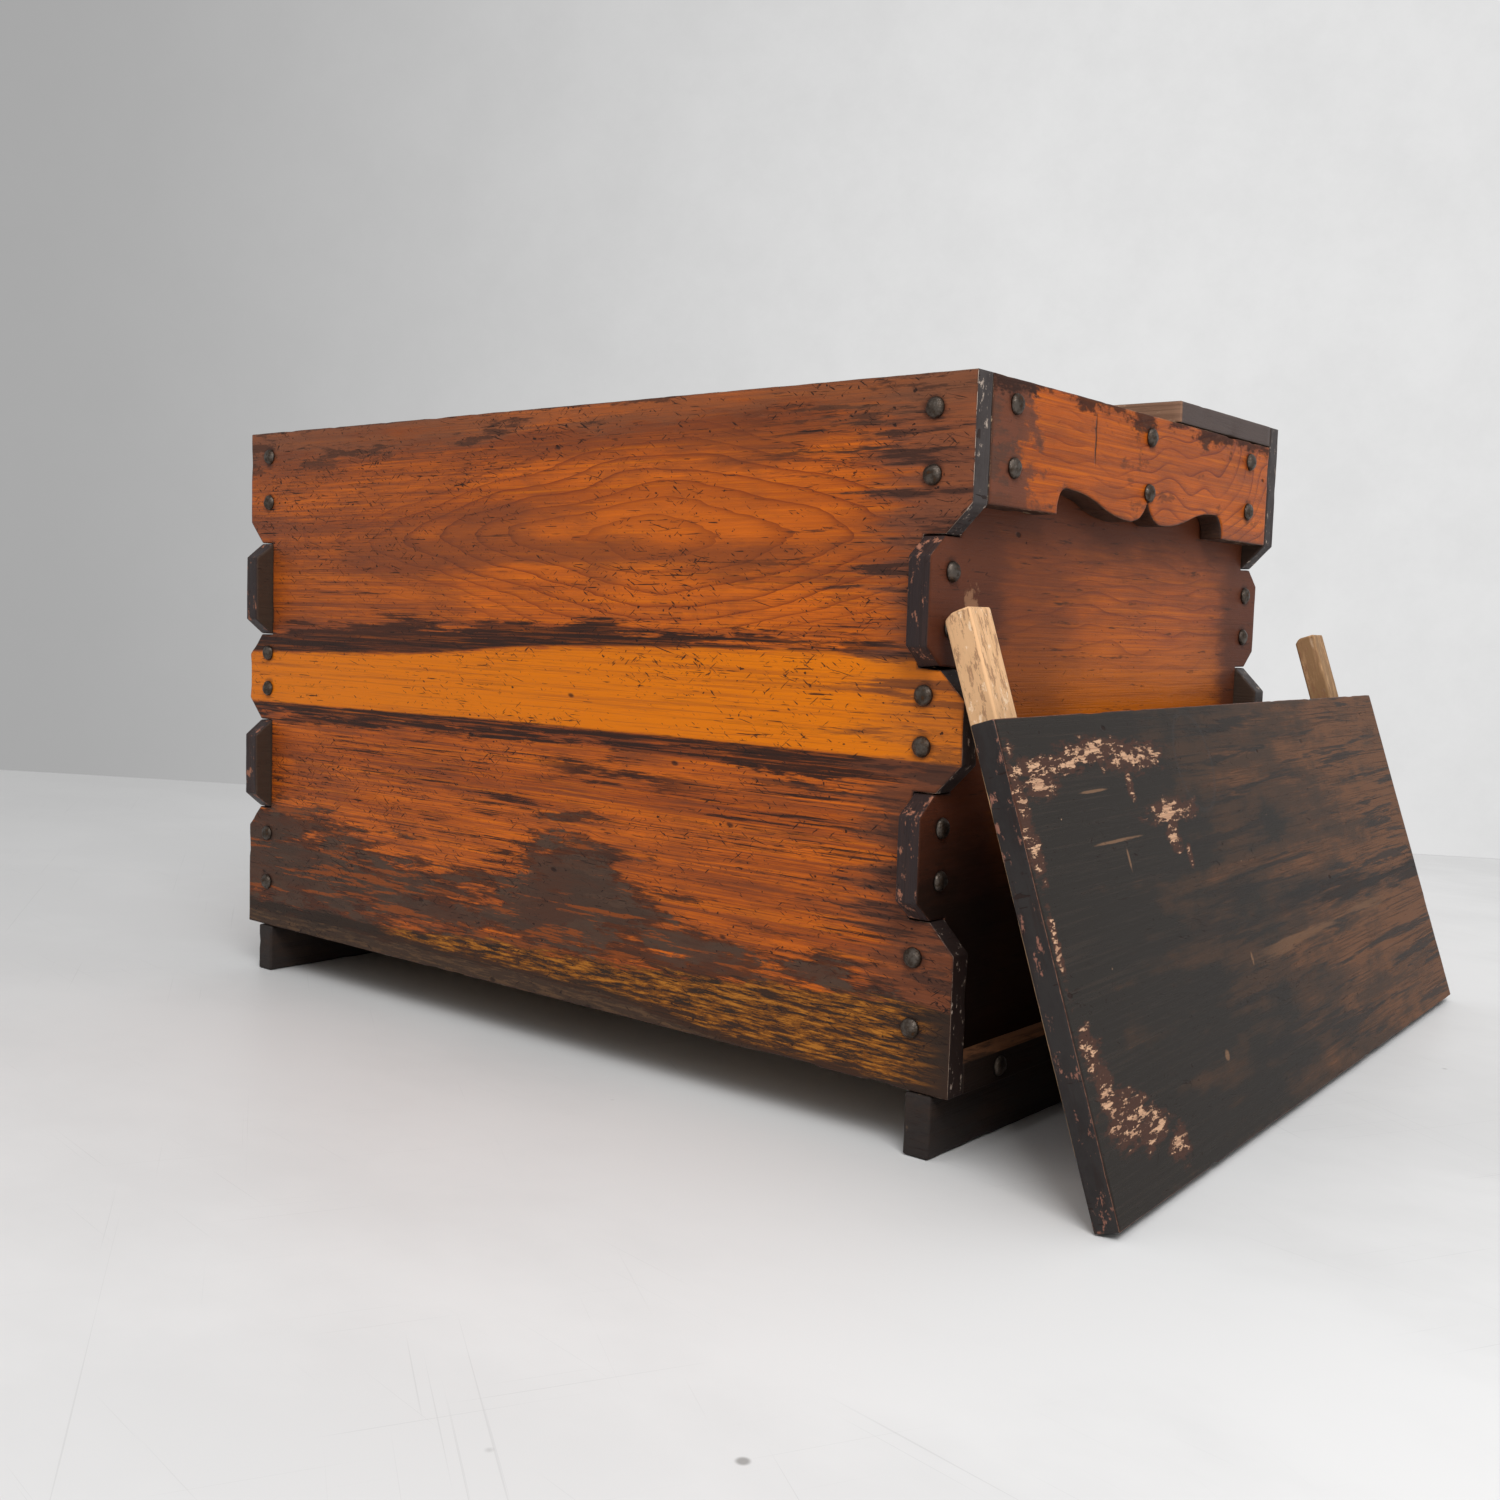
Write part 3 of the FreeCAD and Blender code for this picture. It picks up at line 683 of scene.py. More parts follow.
# %% [markdown]
# ## Lacquered wood
#
# The wood is a soft cedar-like board, cut near the heart, so that its growth rings show as long ovals
# on the face. Over it lies a translucent orange-brown lacquer. All of the orange faces start with the
# same recipe: broad bands of lighter and darker wood, fibres, hair-thin grain and growth rings.
# A ring darkens slowly and ends at a sharp line, as late wood does, so it is a saw wave to a power.
# Where a board is calm, its fibres and hairs are fainter.

# %% Lacquer recipe
ORANGE, DEEP, GOLD = (0.66, 0.14, 0.01), (0.4, 0.08, 0.01), (0.78, 0.2, 0.002)
RED_BROWN, LATE_WOOD, PORES = (0.15, 0.042, 0.018), (0.15, 0.022, 0.008), (0.1, 0.026, 0.012)
SOOT, GRIME, CHIPPED = (0.02, 0.01, 0.008), (0.045, 0.02, 0.014), (0.7, 0.58, 0.46)


def growth(finish, radius, spacing, fade):
    """Growth rings from a field of distance, weaker where fade is small."""
    share = finish.maths("FRACT", radius * (1 / spacing))
    return finish.maths("POWER", share, 6) * fade


def torn(finish, long=0.09, thin=0.008, reach=60 * MM, detail=7):
    """A signed length that makes the edge of a mask run out along the grain."""
    return (clouds(finish, (long, thin, 0.05), detail=detail, rough=0.68, twist=0.15) - 0.5) * (2 * reach)


def lacquered(finish, radius, spacing, fade, pale=ORANGE, dark=DEEP, calm=0.0):
    """The wood under its lacquer, before the history of its own board. Returns its fibres."""
    broad = clouds(finish, (0.5, 0.03, 0.2), detail=6, rough=0.62)
    fibres = clouds(finish, (0.26, 0.003, 0.02), detail=8, rough=0.74)
    hairs = clouds(finish, (0.09, 0.0009, 0.02), detail=3, rough=0.6)
    mottle = clouds(finish, (0.07, 0.03, 0.1), detail=6, rough=0.66)
    coat(finish, None, pale, 0.32)
    coat(finish, broad.beyond(0.52, 0.12), dark)
    coat(finish, mottle.beyond(0.56, 0.1) * 0.35, RED_BROWN)
    lively = finish.maths("SUBTRACT", 1, calm)
    coat(finish, fibres.beyond(0.545, 0.08) * 0.7 * lively, RED_BROWN)
    coat(finish, (1 - fibres.beyond(0.43, 0.08)) * 0.4, GOLD)
    coat(finish, growth(finish, radius, spacing, fade), LATE_WOOD)
    coat(finish, hairs.beyond(0.57, 0.06) * 0.5 * lively, PORES)
    sink(finish, hairs.beyond(0.57, 0.12), 0.07 * MM)
    sink(finish, fibres.beyond(0.56, 0.12), 0.06 * MM)
    return fibres

# %% [markdown]
# Use leaves its own marks. Short dashes of dirt follow the grain, and nicks and scratches cross it.
# Each kind is a noise cut off high, so only its peaks show, and a second slower noise gathers them in
# clusters. It is given by the size of its patches, its turn in degrees, where it is cut off, and its
# depth in millimetres. A few dents, from the Voronoi cells, are deep enough to catch a shadow.

# %% Use and age
DASHES = (0.026, 0.0014, 0.02), 0, 0.69, 0.12
NICKS = (0.009, 0.0016, 0.02), 32, 0.695, 0.3
CUTS = (0.011, 0.0016, 0.02), -38, 0.71, 0.3
SCORES = (0.04, 0.0013, 0.02), 14, 0.715, 0.2
PITS = (0.0055, 0.0045, 0.02), 0, 0.715, 0.35


def knocked(finish, amount=1.0):
    """Dashes, nicks, scratches and dents, dark with old dirt and a little sunk."""
    cluster = (clouds(finish, (0.12, 0.05, 0.1), detail=3) - 0.5) * 0.2
    for size, turn, edge, depth in (DASHES, NICKS, CUTS, SCORES, PITS):
        peaks = clouds(finish, size, detail=2, turn=turn) + cluster
        shown = peaks.beyond(edge + (1 - amount) * 0.08, 0.015)
        coat(finish, shown * 0.9, SOOT, 0.6)
        sink(finish, shown, depth * MM)
    dents = marks(finish, (0.06, 0.03), 0.06, 0.35 * amount, 8)
    coat(finish, dents * 0.8, SOOT, 0.6)
    sink(finish, dents, 0.5 * MM)


def worn_arris(finish, colour=CHIPPED, share=0.4, patch=9 * MM, dirt=0.5):
    """Dirt beside the arrises, and wood that shows in chips right on them."""
    rubbed = clouds(finish, (patch * 2, patch, patch), detail=6, rough=0.75)
    coat(finish, finish.arris.beyond(0.5, 0.4) * dirt, GRIME)
    chips = finish.arris.beyond(0.93, 0.05) * rubbed.beyond(0.66 - share * 0.2, 0.025)
    coat(finish, chips * 0.9, colour, 0.7)


def stained_nails(finish, node, across, up, reach=8 * MM):
    """The dark ring that each iron nail of a node leaves in the wood."""
    gap = None
    for nail in nails_of(node):
        aside, above = finish.across - nail.top[across], finish.up - nail.top[up]
        squared = aside * aside + above * above
        gap = squared if gap is None else gap.least(squared)
    wander = (clouds(finish, (0.02, 0.008, 0.012), detail=5) - 0.5) * (20 * MM)
    coat(finish, (1 - (finish.maths("SQRT", gap) + wander).beyond(reach, 4 * MM)) * 0.75, SOOT, 0.5)

# %% [markdown]
# ## Long boards
#
# Both long boards are sawn near the heart of the tree, so their rings close to a figure of long
# lenses. The distance from its heart grows slowly along the board and fast across it, and two noises
# make the lenses wavy. The growth rings of the recipe follow that distance.

# %% Figured wood
FIGURE, FIGURE_FLAT = (0.062, 0.438), 0.2
HEART_LONG, HEART_TALL = 0.05, 0.014
LONG_RINGS = 10.5 * MM
HEART_GLOW = (0.8, 0.18, 0.012)


def oval_rings(finish):
    """A distance from the heart of the figure whose contours are long lenses, a little wavy."""
    aside, above = finish.across - FIGURE[0], finish.up - FIGURE[1]
    slow = (clouds(finish, (0.17, 0.06, 0.3), detail=1) - 0.5) * 0.024
    quick = (clouds(finish, (0.1, 0.02, 0.3), detail=3) - 0.5) * 0.01
    along = finish.maths("SQRT", aside * aside + HEART_LONG ** 2) - HEART_LONG
    height = finish.maths("SQRT", above * above + HEART_TALL ** 2) - HEART_TALL
    return along * FIGURE_FLAT + height + slow + quick


def figured_board(name, seed):
    """The finish of a long board, with its rings, and the fibres in it."""
    finish = Finish(name, "xzy", seed=seed)
    radius = oval_rings(finish)
    figure = 1 - radius.beyond(0.07, 0.045)
    fibres = lacquered(finish, radius, LONG_RINGS, figure * 0.9 + 0.15, calm=figure * 0.8)
    coat(finish, (1 - radius.beyond(0.03, 0.03)) * 0.35, HEART_GLOW)
    shadow = clouds(finish, (0.3, 0.05, 0.3), detail=6, rough=0.64)
    coat(finish, (shadow + finish.up * 0.4).beyond(0.705, 0.08) * 0.6, RED_BROWN)
    return finish, fibres

# %% [markdown]
# A band of bright yellow sapwood runs along the board between two charred streaks. Each edge is a line
# of a few points, in millimetres across and up, and its mask is torn along the grain, so no colour
# ends at a clean curve.

# %% Band and streaks
BAND_LOW = (-502, 276), (-240, 278), (20, 280), (358, 276)
BAND_HIGH = (-502, 326), (-240, 333), (-70, 345), (100, 350), (300, 352), (358, 352)
STREAK_HIGH = (-502, 24), (-240, 27), (-41, 18), (60, 14), (157, 9), (250, 6), (320, 0), (358, -4)
UNDER_LOW = (-502, 260), (-300, 261), (-120, 266), (0, 270), (180, 264), (290, 256), (358, 260)
LOW_STREAK = 0.245
SAPWOOD_FIBRES = (0.5, 0.12, 0.008)


def yellow_band(finish, fibres, low, high, fine):
    """Sapwood between two lines, with fibres that show through it. Returns its mask."""
    up = finish.up
    band = (up - low + fine * 0.3).beyond(0, 1.5 * MM) * (high - up + fine).beyond(0, 3 * MM)
    coat(finish, band * 0.94, GOLD)
    coat(finish, band * fibres.beyond(0.54, 0.07) * 0.75, SAPWOOD_FIBRES)
    return band


def charred(finish, band, low, high, tear, fine):
    """Soot in the grain, a streak above the band, one below it and a short one lower down."""
    across, up = finish.across, finish.up
    scorch = clouds(finish, (0.16, 0.0032, 0.1), detail=8, rough=0.76)
    cloudy = clouds(finish, (0.16, 0.03, 0.1), detail=5, rough=0.6)
    burn = scorch + (cloudy - 0.5) * 0.6 - up.beyond(0.262, 0.02) * 0.03 - up.beyond(0.385, 0.03) * 0.06
    coat(finish, burn.beyond(0.6, 0.03) * (1 - band * 0.75) * 0.92, SOOT, 0.5)

    streak = contour(finish, STREAK_HIGH)
    above_band = up - high
    upper_edge = streak - above_band + tear
    char = above_band.beyond(1 * MM, 1.5 * MM) * upper_edge.beyond(0, 3 * MM)
    coat(finish, char * (scorch.beyond(0.46, 0.06) * 0.35 + 0.62), SOOT, 0.5)
    under_low = contour(finish, UNDER_LOW)
    under = (low - up + fine * 0.3).beyond(0, 1 * MM) * (up - under_low + tear * 1.2).beyond(0, 3 * MM)
    coat(finish, under * (0.35 + scorch.beyond(0.46, 0.05) * 0.6), SOOT, 0.5)
    short = finish.between(across, -0.05, 0.1, 0.05)
    coat(finish, short * (0.006 - abs(up - LOW_STREAK) + tear).beyond(0, 3 * MM) * 0.9, SOOT, 0.5)


def long_board(name, seed):
    """What both long boards share: rings, band and streaks. Returns the band and a fine tear too."""
    finish, fibres = figured_board(name, seed)
    tear = torn(finish, reach=34 * MM)
    fine = torn(finish, 0.03, 0.0026, 12 * MM)
    low, high = contour(finish, BAND_LOW), contour(finish, BAND_HIGH)
    band = yellow_band(finish, fibres, low, high, fine)
    charred(finish, band, low, high, tear, fine)
    return finish, band, fine

# %% [markdown]
# ## Front board
#
# The front has the most history. Its right end was handled and smoked: brown above, redder on the
# lower ears and smudged in streaks, while the yellow band stays clearer. The upper left is a little
# darker as well: a painted shadow of a cloth, with some patina. Each coat is thin, so the wood shows
# through them all.

# %% Handled end
HANDLED, STREAKED, EAR_RED = (0.18, 0.064, 0.034), (0.09, 0.032, 0.02), (0.14, 0.038, 0.013)
EAR_BLACK = (0.04, 0.022, 0.017)
HANDLED_FROM, SMUDGED_FROM, LOWER_EARS = 0.285, 0.17, 0.3
SHADOW_BEFORE, SHADOW_ABOVE = -0.17, 0.345


def handled_end(finish, band, grime, soft):
    """The brown, red and black of the right end, and the painted shadow with patina on the upper left."""
    across, up = finish.across, finish.up
    ends = (across + (soft - 0.5) * 0.25).beyond(HANDLED_FROM, 0.03)
    coat(finish, ends * (0.8 - band * 0.5), HANDLED)
    coat(finish, ends * soft.beyond(0.53, 0.03) * 0.6, STREAKED)
    red = ends * (1 - up.beyond(LOWER_EARS, 0.05)) * (1 - band) * soft.beyond(0.42, 0.1)
    coat(finish, red * 0.6, EAR_RED)
    black = ends * (1 - up.beyond(LOWER_EARS, 0.05)) * grime.beyond(0.55, 0.03)
    coat(finish, black * 0.7, EAR_BLACK, 0.5)
    # Painted shadow of a cloth over the upper left, with some patina.
    cloth_shadow_and_patina = (SHADOW_BEFORE - across + (soft - 0.5) * 0.4).beyond(0, 0.05) * up.beyond(SHADOW_ABOVE, 0.01)
    coat(finish, cloth_shadow_and_patina * 0.25, RED_BROWN)
    smudged = across.beyond(SMUDGED_FROM, 0.06) * soft.beyond(0.575, 0.025)
    coat(finish, smudged * (0.85 - band * 0.7), GRIME, 0.5)

# %% [markdown]
# Low down the lacquer has gone dull in a grey-brown patch between two drawn lines. It is laid in steps
# from a black outline inwards, and each step has its own torn edge, so the patch looks grown and not
# cut out.

# %% Dull patch
PATCH_HIGH = ((-502, 190), (-344, 165), (-250, 150), (-150, 135), (-85, 165), (-60, 190), (-30, 197),
              (10, 185), (40, 165), (70, 150), (110, 140), (150, 132), (220, 120), (300, 118), (358, 114))
PATCH_LOW = ((-502, 70), (-344, 72), (-220, 76), (-100, 82), (0, 88), (61, 90), (150, 96), (220, 104),
             (300, 108), (358, 110))
OUTLINE, DUST, DEEP_DUST = (0.03, 0.015, 0.011), (0.085, 0.052, 0.036), (0.05, 0.027, 0.019)
PATCH_BROWN, PATCH_ORANGE = (0.095, 0.035, 0.019), (0.3, 0.07, 0.012)


def dull_patch(finish, grime, soft, fine):
    """Lays the patch. Returns its lower line and the long tear that its edges follow."""
    up = finish.up
    high, low = contour(finish, PATCH_HIGH), contour(finish, PATCH_LOW)
    fringe = torn(finish, 0.1, 0.014, 110 * MM, 8)
    inside = (high - 12 * MM - up).least(up - low) + fringe + fine * 0.7
    coat(finish, inside.beyond(-10 * MM, 9 * MM) * 0.85, OUTLINE, 0.5)
    dusty = (clouds(finish, (0.05, 0.02, 0.1), detail=7, rough=0.74) - 0.5) * 0.2
    coat(finish, (inside + dusty).beyond(9 * MM, 9 * MM) * 0.85, DUST, 0.55)
    coat(finish, (inside - dusty * 0.8).beyond(22 * MM, 8 * MM) * 0.45, DEEP_DUST, 0.5)
    coat(finish, inside.beyond(0, 9 * MM) * grime.beyond(0.5, 0.06) * 0.5, PATCH_BROWN, 0.5)
    coat(finish, inside.beyond(-5 * MM, 10 * MM) * soft.beyond(0.565, 0.02) * 0.8, PATCH_ORANGE, 0.5)
    return low, fringe

# %% [markdown]
# Under the patch the board is almost black, with golden wood that flakes through it in short level
# dashes. The lowest strip, where brooms and feet have knocked it, is dusty brown.

# %% Golden foot
FOOT_BLACK, GOLD_SHADE, GOLD_LIGHT = (0.03, 0.018, 0.012), (0.24, 0.078, 0.01), (0.46, 0.17, 0.022)
STRIP, STRIP_FLECKS = (0.06, 0.036, 0.024), (0.15, 0.08, 0.04)
GOLD_FROM, GOLD_TO, GOLD_LOWEST = -0.26, 0.325, 0.067


def golden_foot(finish, patch_low, fringe, fine):
    across, up = finish.across, finish.up
    under_patch = (patch_low - up + fringe * 0.12 + fine).beyond(0, 3 * MM)
    coat(finish, under_patch * 0.95, FOOT_BLACK, 0.55)
    flaking = clouds(finish, (0.035, 0.0035, 0.1), detail=8, rough=0.78)
    lowest = GOLD_LOWEST - across.beyond(0.1, 0.1) * 0.014
    gold = finish.between(across, GOLD_FROM, GOLD_TO, 0.03) * (up + fine - lowest).beyond(0, 4 * MM)
    gold = gold * under_patch
    coat(finish, gold * flaking.beyond(0.49, 0.025) * 0.9, GOLD_SHADE, 0.6)
    coat(finish, gold * flaking.beyond(0.56, 0.03), GOLD_LIGHT, 0.65)
    strip = (lowest - 7 * MM - up + fine).beyond(0, 2 * MM)
    coat(finish, strip * 0.75, STRIP, 0.6)
    coat(finish, strip * flaking.beyond(0.53, 0.03) * 0.6, STRIP_FLECKS, 0.65)

# %% [markdown]
# Last come the dusty rim, the dark rings round the nails, the marks of use, and the arrises of the
# right end, rubbed to bare wood on the upper ear. The back board has the same wood, band and streaks
# and none of the patches, only more soot, as a side that stood against a wall.

# %% Both long boards
RIM_BROWN, RIM_BLACK = (0.22, 0.085, 0.04), (0.05, 0.022, 0.015)
RIM_FROM, RIM_GRIME_FROM, UPPER_EAR = 0.525, 0.5, 0.445
RUBBED_WHITE, RUBBED_TAN = (0.8, 0.7, 0.6), (0.5, 0.36, 0.26)


def worn_rim(finish, grime):
    up = finish.up
    coat(finish, (up + (grime - 0.5) * 0.12).beyond(RIM_FROM, 0.012) * 0.5, RIM_BROWN)
    coat(finish, up.beyond(RIM_GRIME_FROM, 0.02) * grime.beyond(0.585, 0.03) * 0.75, RIM_BLACK, 0.55)


def rubbed_ears(finish):
    """Bare wood on the arrises of the right ears, palest at the upper one."""
    corner = finish.arris.beyond(0.88, 0.08) * finish.across.beyond(RIGHT_EARS - 5 * MM, 1 * MM)
    corner = corner * finish.up.beyond(UPPER_EAR, 8 * MM)
    split = clouds(finish, (0.02, 0.016, 0.01), detail=5, rough=0.75).beyond(0.46, 0.03)
    coat(finish, corner * split * 0.9, RUBBED_WHITE, 0.7)
    ears = finish.arris.beyond(0.93, 0.05) * finish.across.beyond(RIGHT_EARS - 30 * MM, 1 * MM)
    coat(finish, ears * split * 0.8, RUBBED_TAN, 0.7)


def front_board():
    finish, band, fine = long_board("front_lacquer", 3.0)
    grime = clouds(finish, (0.12, 0.02, 0.1), detail=7, rough=0.7)
    soft = clouds(finish, (0.16, 0.012, 0.1), detail=7, rough=0.72)
    handled_end(finish, band, grime, soft)
    patch_low, fringe = dull_patch(finish, grime, soft, fine)
    golden_foot(finish, patch_low, fringe, fine)
    worn_rim(finish, grime)
    stained_nails(finish, "front_nails", 0, 2)
    knocked(finish)
    worn_arris(finish)
    rubbed_ears(finish)
    return finished(finish, shine=0.16)


def back_board():
    finish = long_board("back_lacquer", 41.0)[0]
    grime = clouds(finish, (0.3, 0.06, 0.1), detail=7, rough=0.68)
    coat(finish, grime.beyond(0.5, 0.1) * 0.8, RED_BROWN, 0.5)
    coat(finish, (1 - finish.up.beyond(0.13, 0.04)) * grime.beyond(0.42, 0.1) * 0.8, SOOT, 0.6)
    stained_nails(finish, "back_nails", 0, 2)
    knocked(finish)
    worn_arris(finish)
    return finished(finish, shine=0.16)


FRONT, BACK = front_board(), back_board()

# %% [markdown]
# ## Ends
#
# The end panel sits back under the apron and between the ears, so its top and both sides are darkened
# with painted shade, most on the near side behind the leaning lid. Its rings rise in flat arcs from a
# heart near its foot. The apron is cut from another tree: its rings swing down in a U, centred above
# its top edge. Both ends of the chest share these finishes. A mask by X keeps a rubbed spot to the
# right panel and makes its foot darker: soot, with painted shadow of the lid that leans there.

# %% End panel
PANEL_ORANGE, PANEL_GOLD = (0.44, 0.092, 0.006), (0.62, 0.15, 0.005)
SIDE_SHADE, SHADE, SCORCHED = (0.12, 0.034, 0.014), (0.085, 0.027, 0.015), (0.04, 0.018, 0.012)
RUBBED_BROWN, PANEL_SOOT_AND_SHADOW, PANEL_CHIPS = (0.42, 0.22, 0.12), (0.012, 0.007, 0.005), (0.36, 0.14, 0.08)
PANEL_RINGS = 12 * MM
RUBBED = (-0.348, 0.37, 0.014, 0.036)


def panel_wood():
    """The panel's wood, golden in its lower middle."""
    finish = Finish("panel_lacquer", "yzx", seed=77.0)
    across, up = finish.across, finish.up
    aside, above = (across + 0.13) * 0.2, up - 0.1
    wander = (clouds(finish, (0.16, 0.05, 0.3), detail=2) - 0.5) * 0.05
    radius = finish.maths("SQRT", aside * aside + above * above) + wander
    fibres = lacquered(finish, radius, PANEL_RINGS, 0.75, pale=PANEL_ORANGE, calm=0.45)
    gold = (1 - (up + wander).beyond(0.355, 0.03)) * finish.between(across, -0.33, 0.1, 0.05)
    coat(finish, gold * (1 - fibres.beyond(0.56, 0.1) * 0.6) * 0.85, PANEL_GOLD)
    return finish


def end_panel():
    finish = panel_wood()
    across, up = finish.across, finish.up
    tear = torn(finish, 0.09, 0.018, 75 * MM)
    # Painted shade at both sides, in the recess beside the ears, strongest on the near side behind the lid.
    side_shade = (-0.2 - across + tear).beyond(0, 0.06).most((across - 0.03 + tear).beyond(0, 0.05) * 0.6)
    coat(finish, side_shade * 0.6, SIDE_SHADE, 0.45)
    # Painted shade under the apron along the top, and again at both sides.
    shade = (up + tear * 0.5).beyond(0.432, 0.022).most((-0.3 - across + tear * 0.6).beyond(0, 0.02))
    shade = shade.most((across - 0.075 + tear * 0.6).beyond(0, 0.02))
    coat(finish, shade * 0.9, SHADE, 0.5)
    # More painted shade under the apron, red-brown and more gradual.
    coat(finish, (up + tear * 0.8).beyond(0.4, 0.03) * 0.45, RED_BROWN, 0.45)
    scorch = clouds(finish, (0.06, 0.006, 0.1), detail=7, rough=0.74)
    coat(finish, scorch.beyond(0.62, 0.03) * 0.8, SCORCHED, 0.5)
    ragged = (clouds(finish, (0.012, 0.02, 0.02), detail=6, rough=0.75) - 0.5) * 3
    rubbed = (1 - spot(finish, *RUBBED) + ragged).beyond(0.3, 0.15) * finish.through.beyond(0, 1 * MM)
    coat(finish, rubbed * 0.6, RUBBED_BROWN, 0.6)
    # Darker towards the foot: soot, with painted shadow of the lid, strongest on the right end where the
    # lid leans.
    soot_and_shade = finish.through.beyond(0, 1 * MM) * 0.55 + 0.4
    coat(finish, (1 - (up + tear * 0.6).beyond(0.22, 0.05)) * soot_and_shade, PANEL_SOOT_AND_SHADOW, 0.7)
    stained_nails(finish, "right_end_nails", 1, 2)
    knocked(finish, 0.4)
    worn_arris(finish, colour=PANEL_CHIPS)
    return finished(finish, shine=0.1)


PANEL = end_panel()

# %% Apron
APRON_ORANGE, APRON_DEEP = (0.52, 0.105, 0.006), (0.34, 0.068, 0.006)
NEAR_BROWN, NEAR_RED, APRON_GRIME = (0.075, 0.042, 0.032), (0.2, 0.06, 0.03), (0.09, 0.035, 0.02)
APRON_CHIPS = (0.5, 0.3, 0.18)
APRON_RINGS = 11 * MM
CRACK_LEFT, CRACK_FROM, CRACK_TO, CRACK_HALF = 0.215, 0.5, 0.533, 0.0011


def apron():
    finish = Finish("apron_lacquer", "yzx", seed=131.0)
    across, up = finish.across, finish.up
    aside, below = (across + 0.2) * 0.4, up - 0.6
    wander = (clouds(finish, (0.1, 0.08, 0.3), detail=1) - 0.5) * 0.06
    radius = finish.maths("SQRT", aside * aside + below * below) + wander
    patches = clouds(finish, (0.06, 0.03, 0.1), detail=3)
    clear = patches.beyond(0.46, 0.1) * 0.7 + across.beyond(-0.15, 0.08) * 0.3
    lacquered(finish, radius, APRON_RINGS, clear, APRON_ORANGE, APRON_DEEP, calm=0.5)
    grime = clouds(finish, (0.04, 0.02, 0.05), detail=7, rough=0.7)
    near = (-0.312 - across + (grime - 0.5) * 0.24).beyond(0, 0.016)
    coat(finish, near * 0.9, NEAR_BROWN, 0.5)
    coat(finish, near * grime.beyond(0.5, 0.04) * 0.6, NEAR_RED, 0.5)
    highest = (up + (grime - 0.5) * 0.08).beyond(0.54, 0.004)
    coat(finish, highest * 0.85, SOOT, 0.6)
    coat(finish, (1 - (up + (grime - 0.5) * 0.05).beyond(0.464, 0.006)) * 0.5, RED_BROWN)
    coat(finish, grime.beyond(0.62, 0.03) * 0.55, APRON_GRIME, 0.5)
    wobble = (grime - 0.5) * 0.008
    crack = (CRACK_HALF - abs(across + CRACK_LEFT + wobble)).beyond(0, 0.6 * MM)
    crack = crack * finish.between(up, CRACK_FROM, CRACK_TO, 0.006)
    coat(finish, crack * 0.85, SOOT)
    sink(finish, crack, 0.5 * MM)
    stained_nails(finish, "right_apron_nails", 1, 2)
    knocked(finish, 0.2)
    worn_arris(finish, colour=APRON_CHIPS, share=0.6)
    return finished(finish, shine=0.1)


APRON = apron()

# %% [markdown]
# ## End grain, edges and dark wood
#
# Sawn ends drink dirt and turn almost black, with a cold sheen. A few fine lines cross them, and the
# arris beside them is rubbed back to red-brown or to bare wood.

# %% Dark woods
def dark_wood(name, order, base, patchy, rough, seed, chip=CHIPPED, share=0.35, placement=None,
              patch=9 * MM, soot_and_shade=0.0):
    """One dark wood with patches of a second one. Given a share for it, it is blacker in its lower part:
    painted shade, with soot.
    """
    finish = Finish(name, order, placement, seed)
    fibres = clouds(finish, (0.1, 0.0016, 0.01), detail=5, rough=0.65)
    patches = clouds(finish, (0.08, 0.02, 0.05), detail=8, rough=0.75)
    coat(finish, None, base, rough)
    coat(finish, patches.beyond(0.53, 0.12) * 0.85, patchy, rough + 0.1)
    if soot_and_shade:
        # Painted shade with soot, darker towards the bottom.
        coat(finish, (1 - finish.across.beyond(0.21, 0.06)) * soot_and_shade, SOOT, 0.7)
    coat(finish, fibres.beyond(0.57, 0.08) * 0.5, SOOT)
    sink(finish, fibres.beyond(0.57, 0.12), 0.12 * MM)
    knocked(finish, 0.6)
    worn_arris(finish, colour=chip, share=share, patch=patch, dirt=0.0)
    return finished(finish, shine=0.2)


# The lower ends of the ears are blackened: painted shade of the lid and the cavity behind it, with soot.
END_GRAIN = dark_wood("end_grain", "zxy", (0.052, 0.042, 0.04), (0.028, 0.02, 0.02), rough=0.45, seed=5.0,
                      chip=(0.5, 0.4, 0.33), share=0.22, patch=6 * MM, soot_and_shade=0.85)
FINGER = dark_wood("finger_end", "zxy", (0.028, 0.018, 0.018), (0.045, 0.024, 0.02), rough=0.4, seed=15.0,
                   chip=(0.36, 0.15, 0.09))
APRON_EDGE = dark_wood("apron_edge", "yzx", (0.06, 0.028, 0.017), (0.03, 0.017, 0.013), 0.5, seed=25.0,
                       chip=(0.45, 0.32, 0.2))
FOOT = dark_wood("foot_wood", "yzx", (0.026, 0.02, 0.018), (0.042, 0.026, 0.019), rough=0.6, seed=45.0,
                 chip=(0.14, 0.09, 0.06), share=0.1)
TOP = dark_wood("top_lacquer", "xyz", (0.08, 0.045, 0.03), (0.045, 0.028, 0.02), rough=0.42, seed=55.0,
                chip=(0.3, 0.2, 0.13))

# %% Bottom rail
RAIL_BLACK, RAIL_BROWN, LEDGE_LIGHT_AND_DUST = (0.024, 0.016, 0.013), (0.045, 0.026, 0.018), (0.3, 0.13, 0.06)


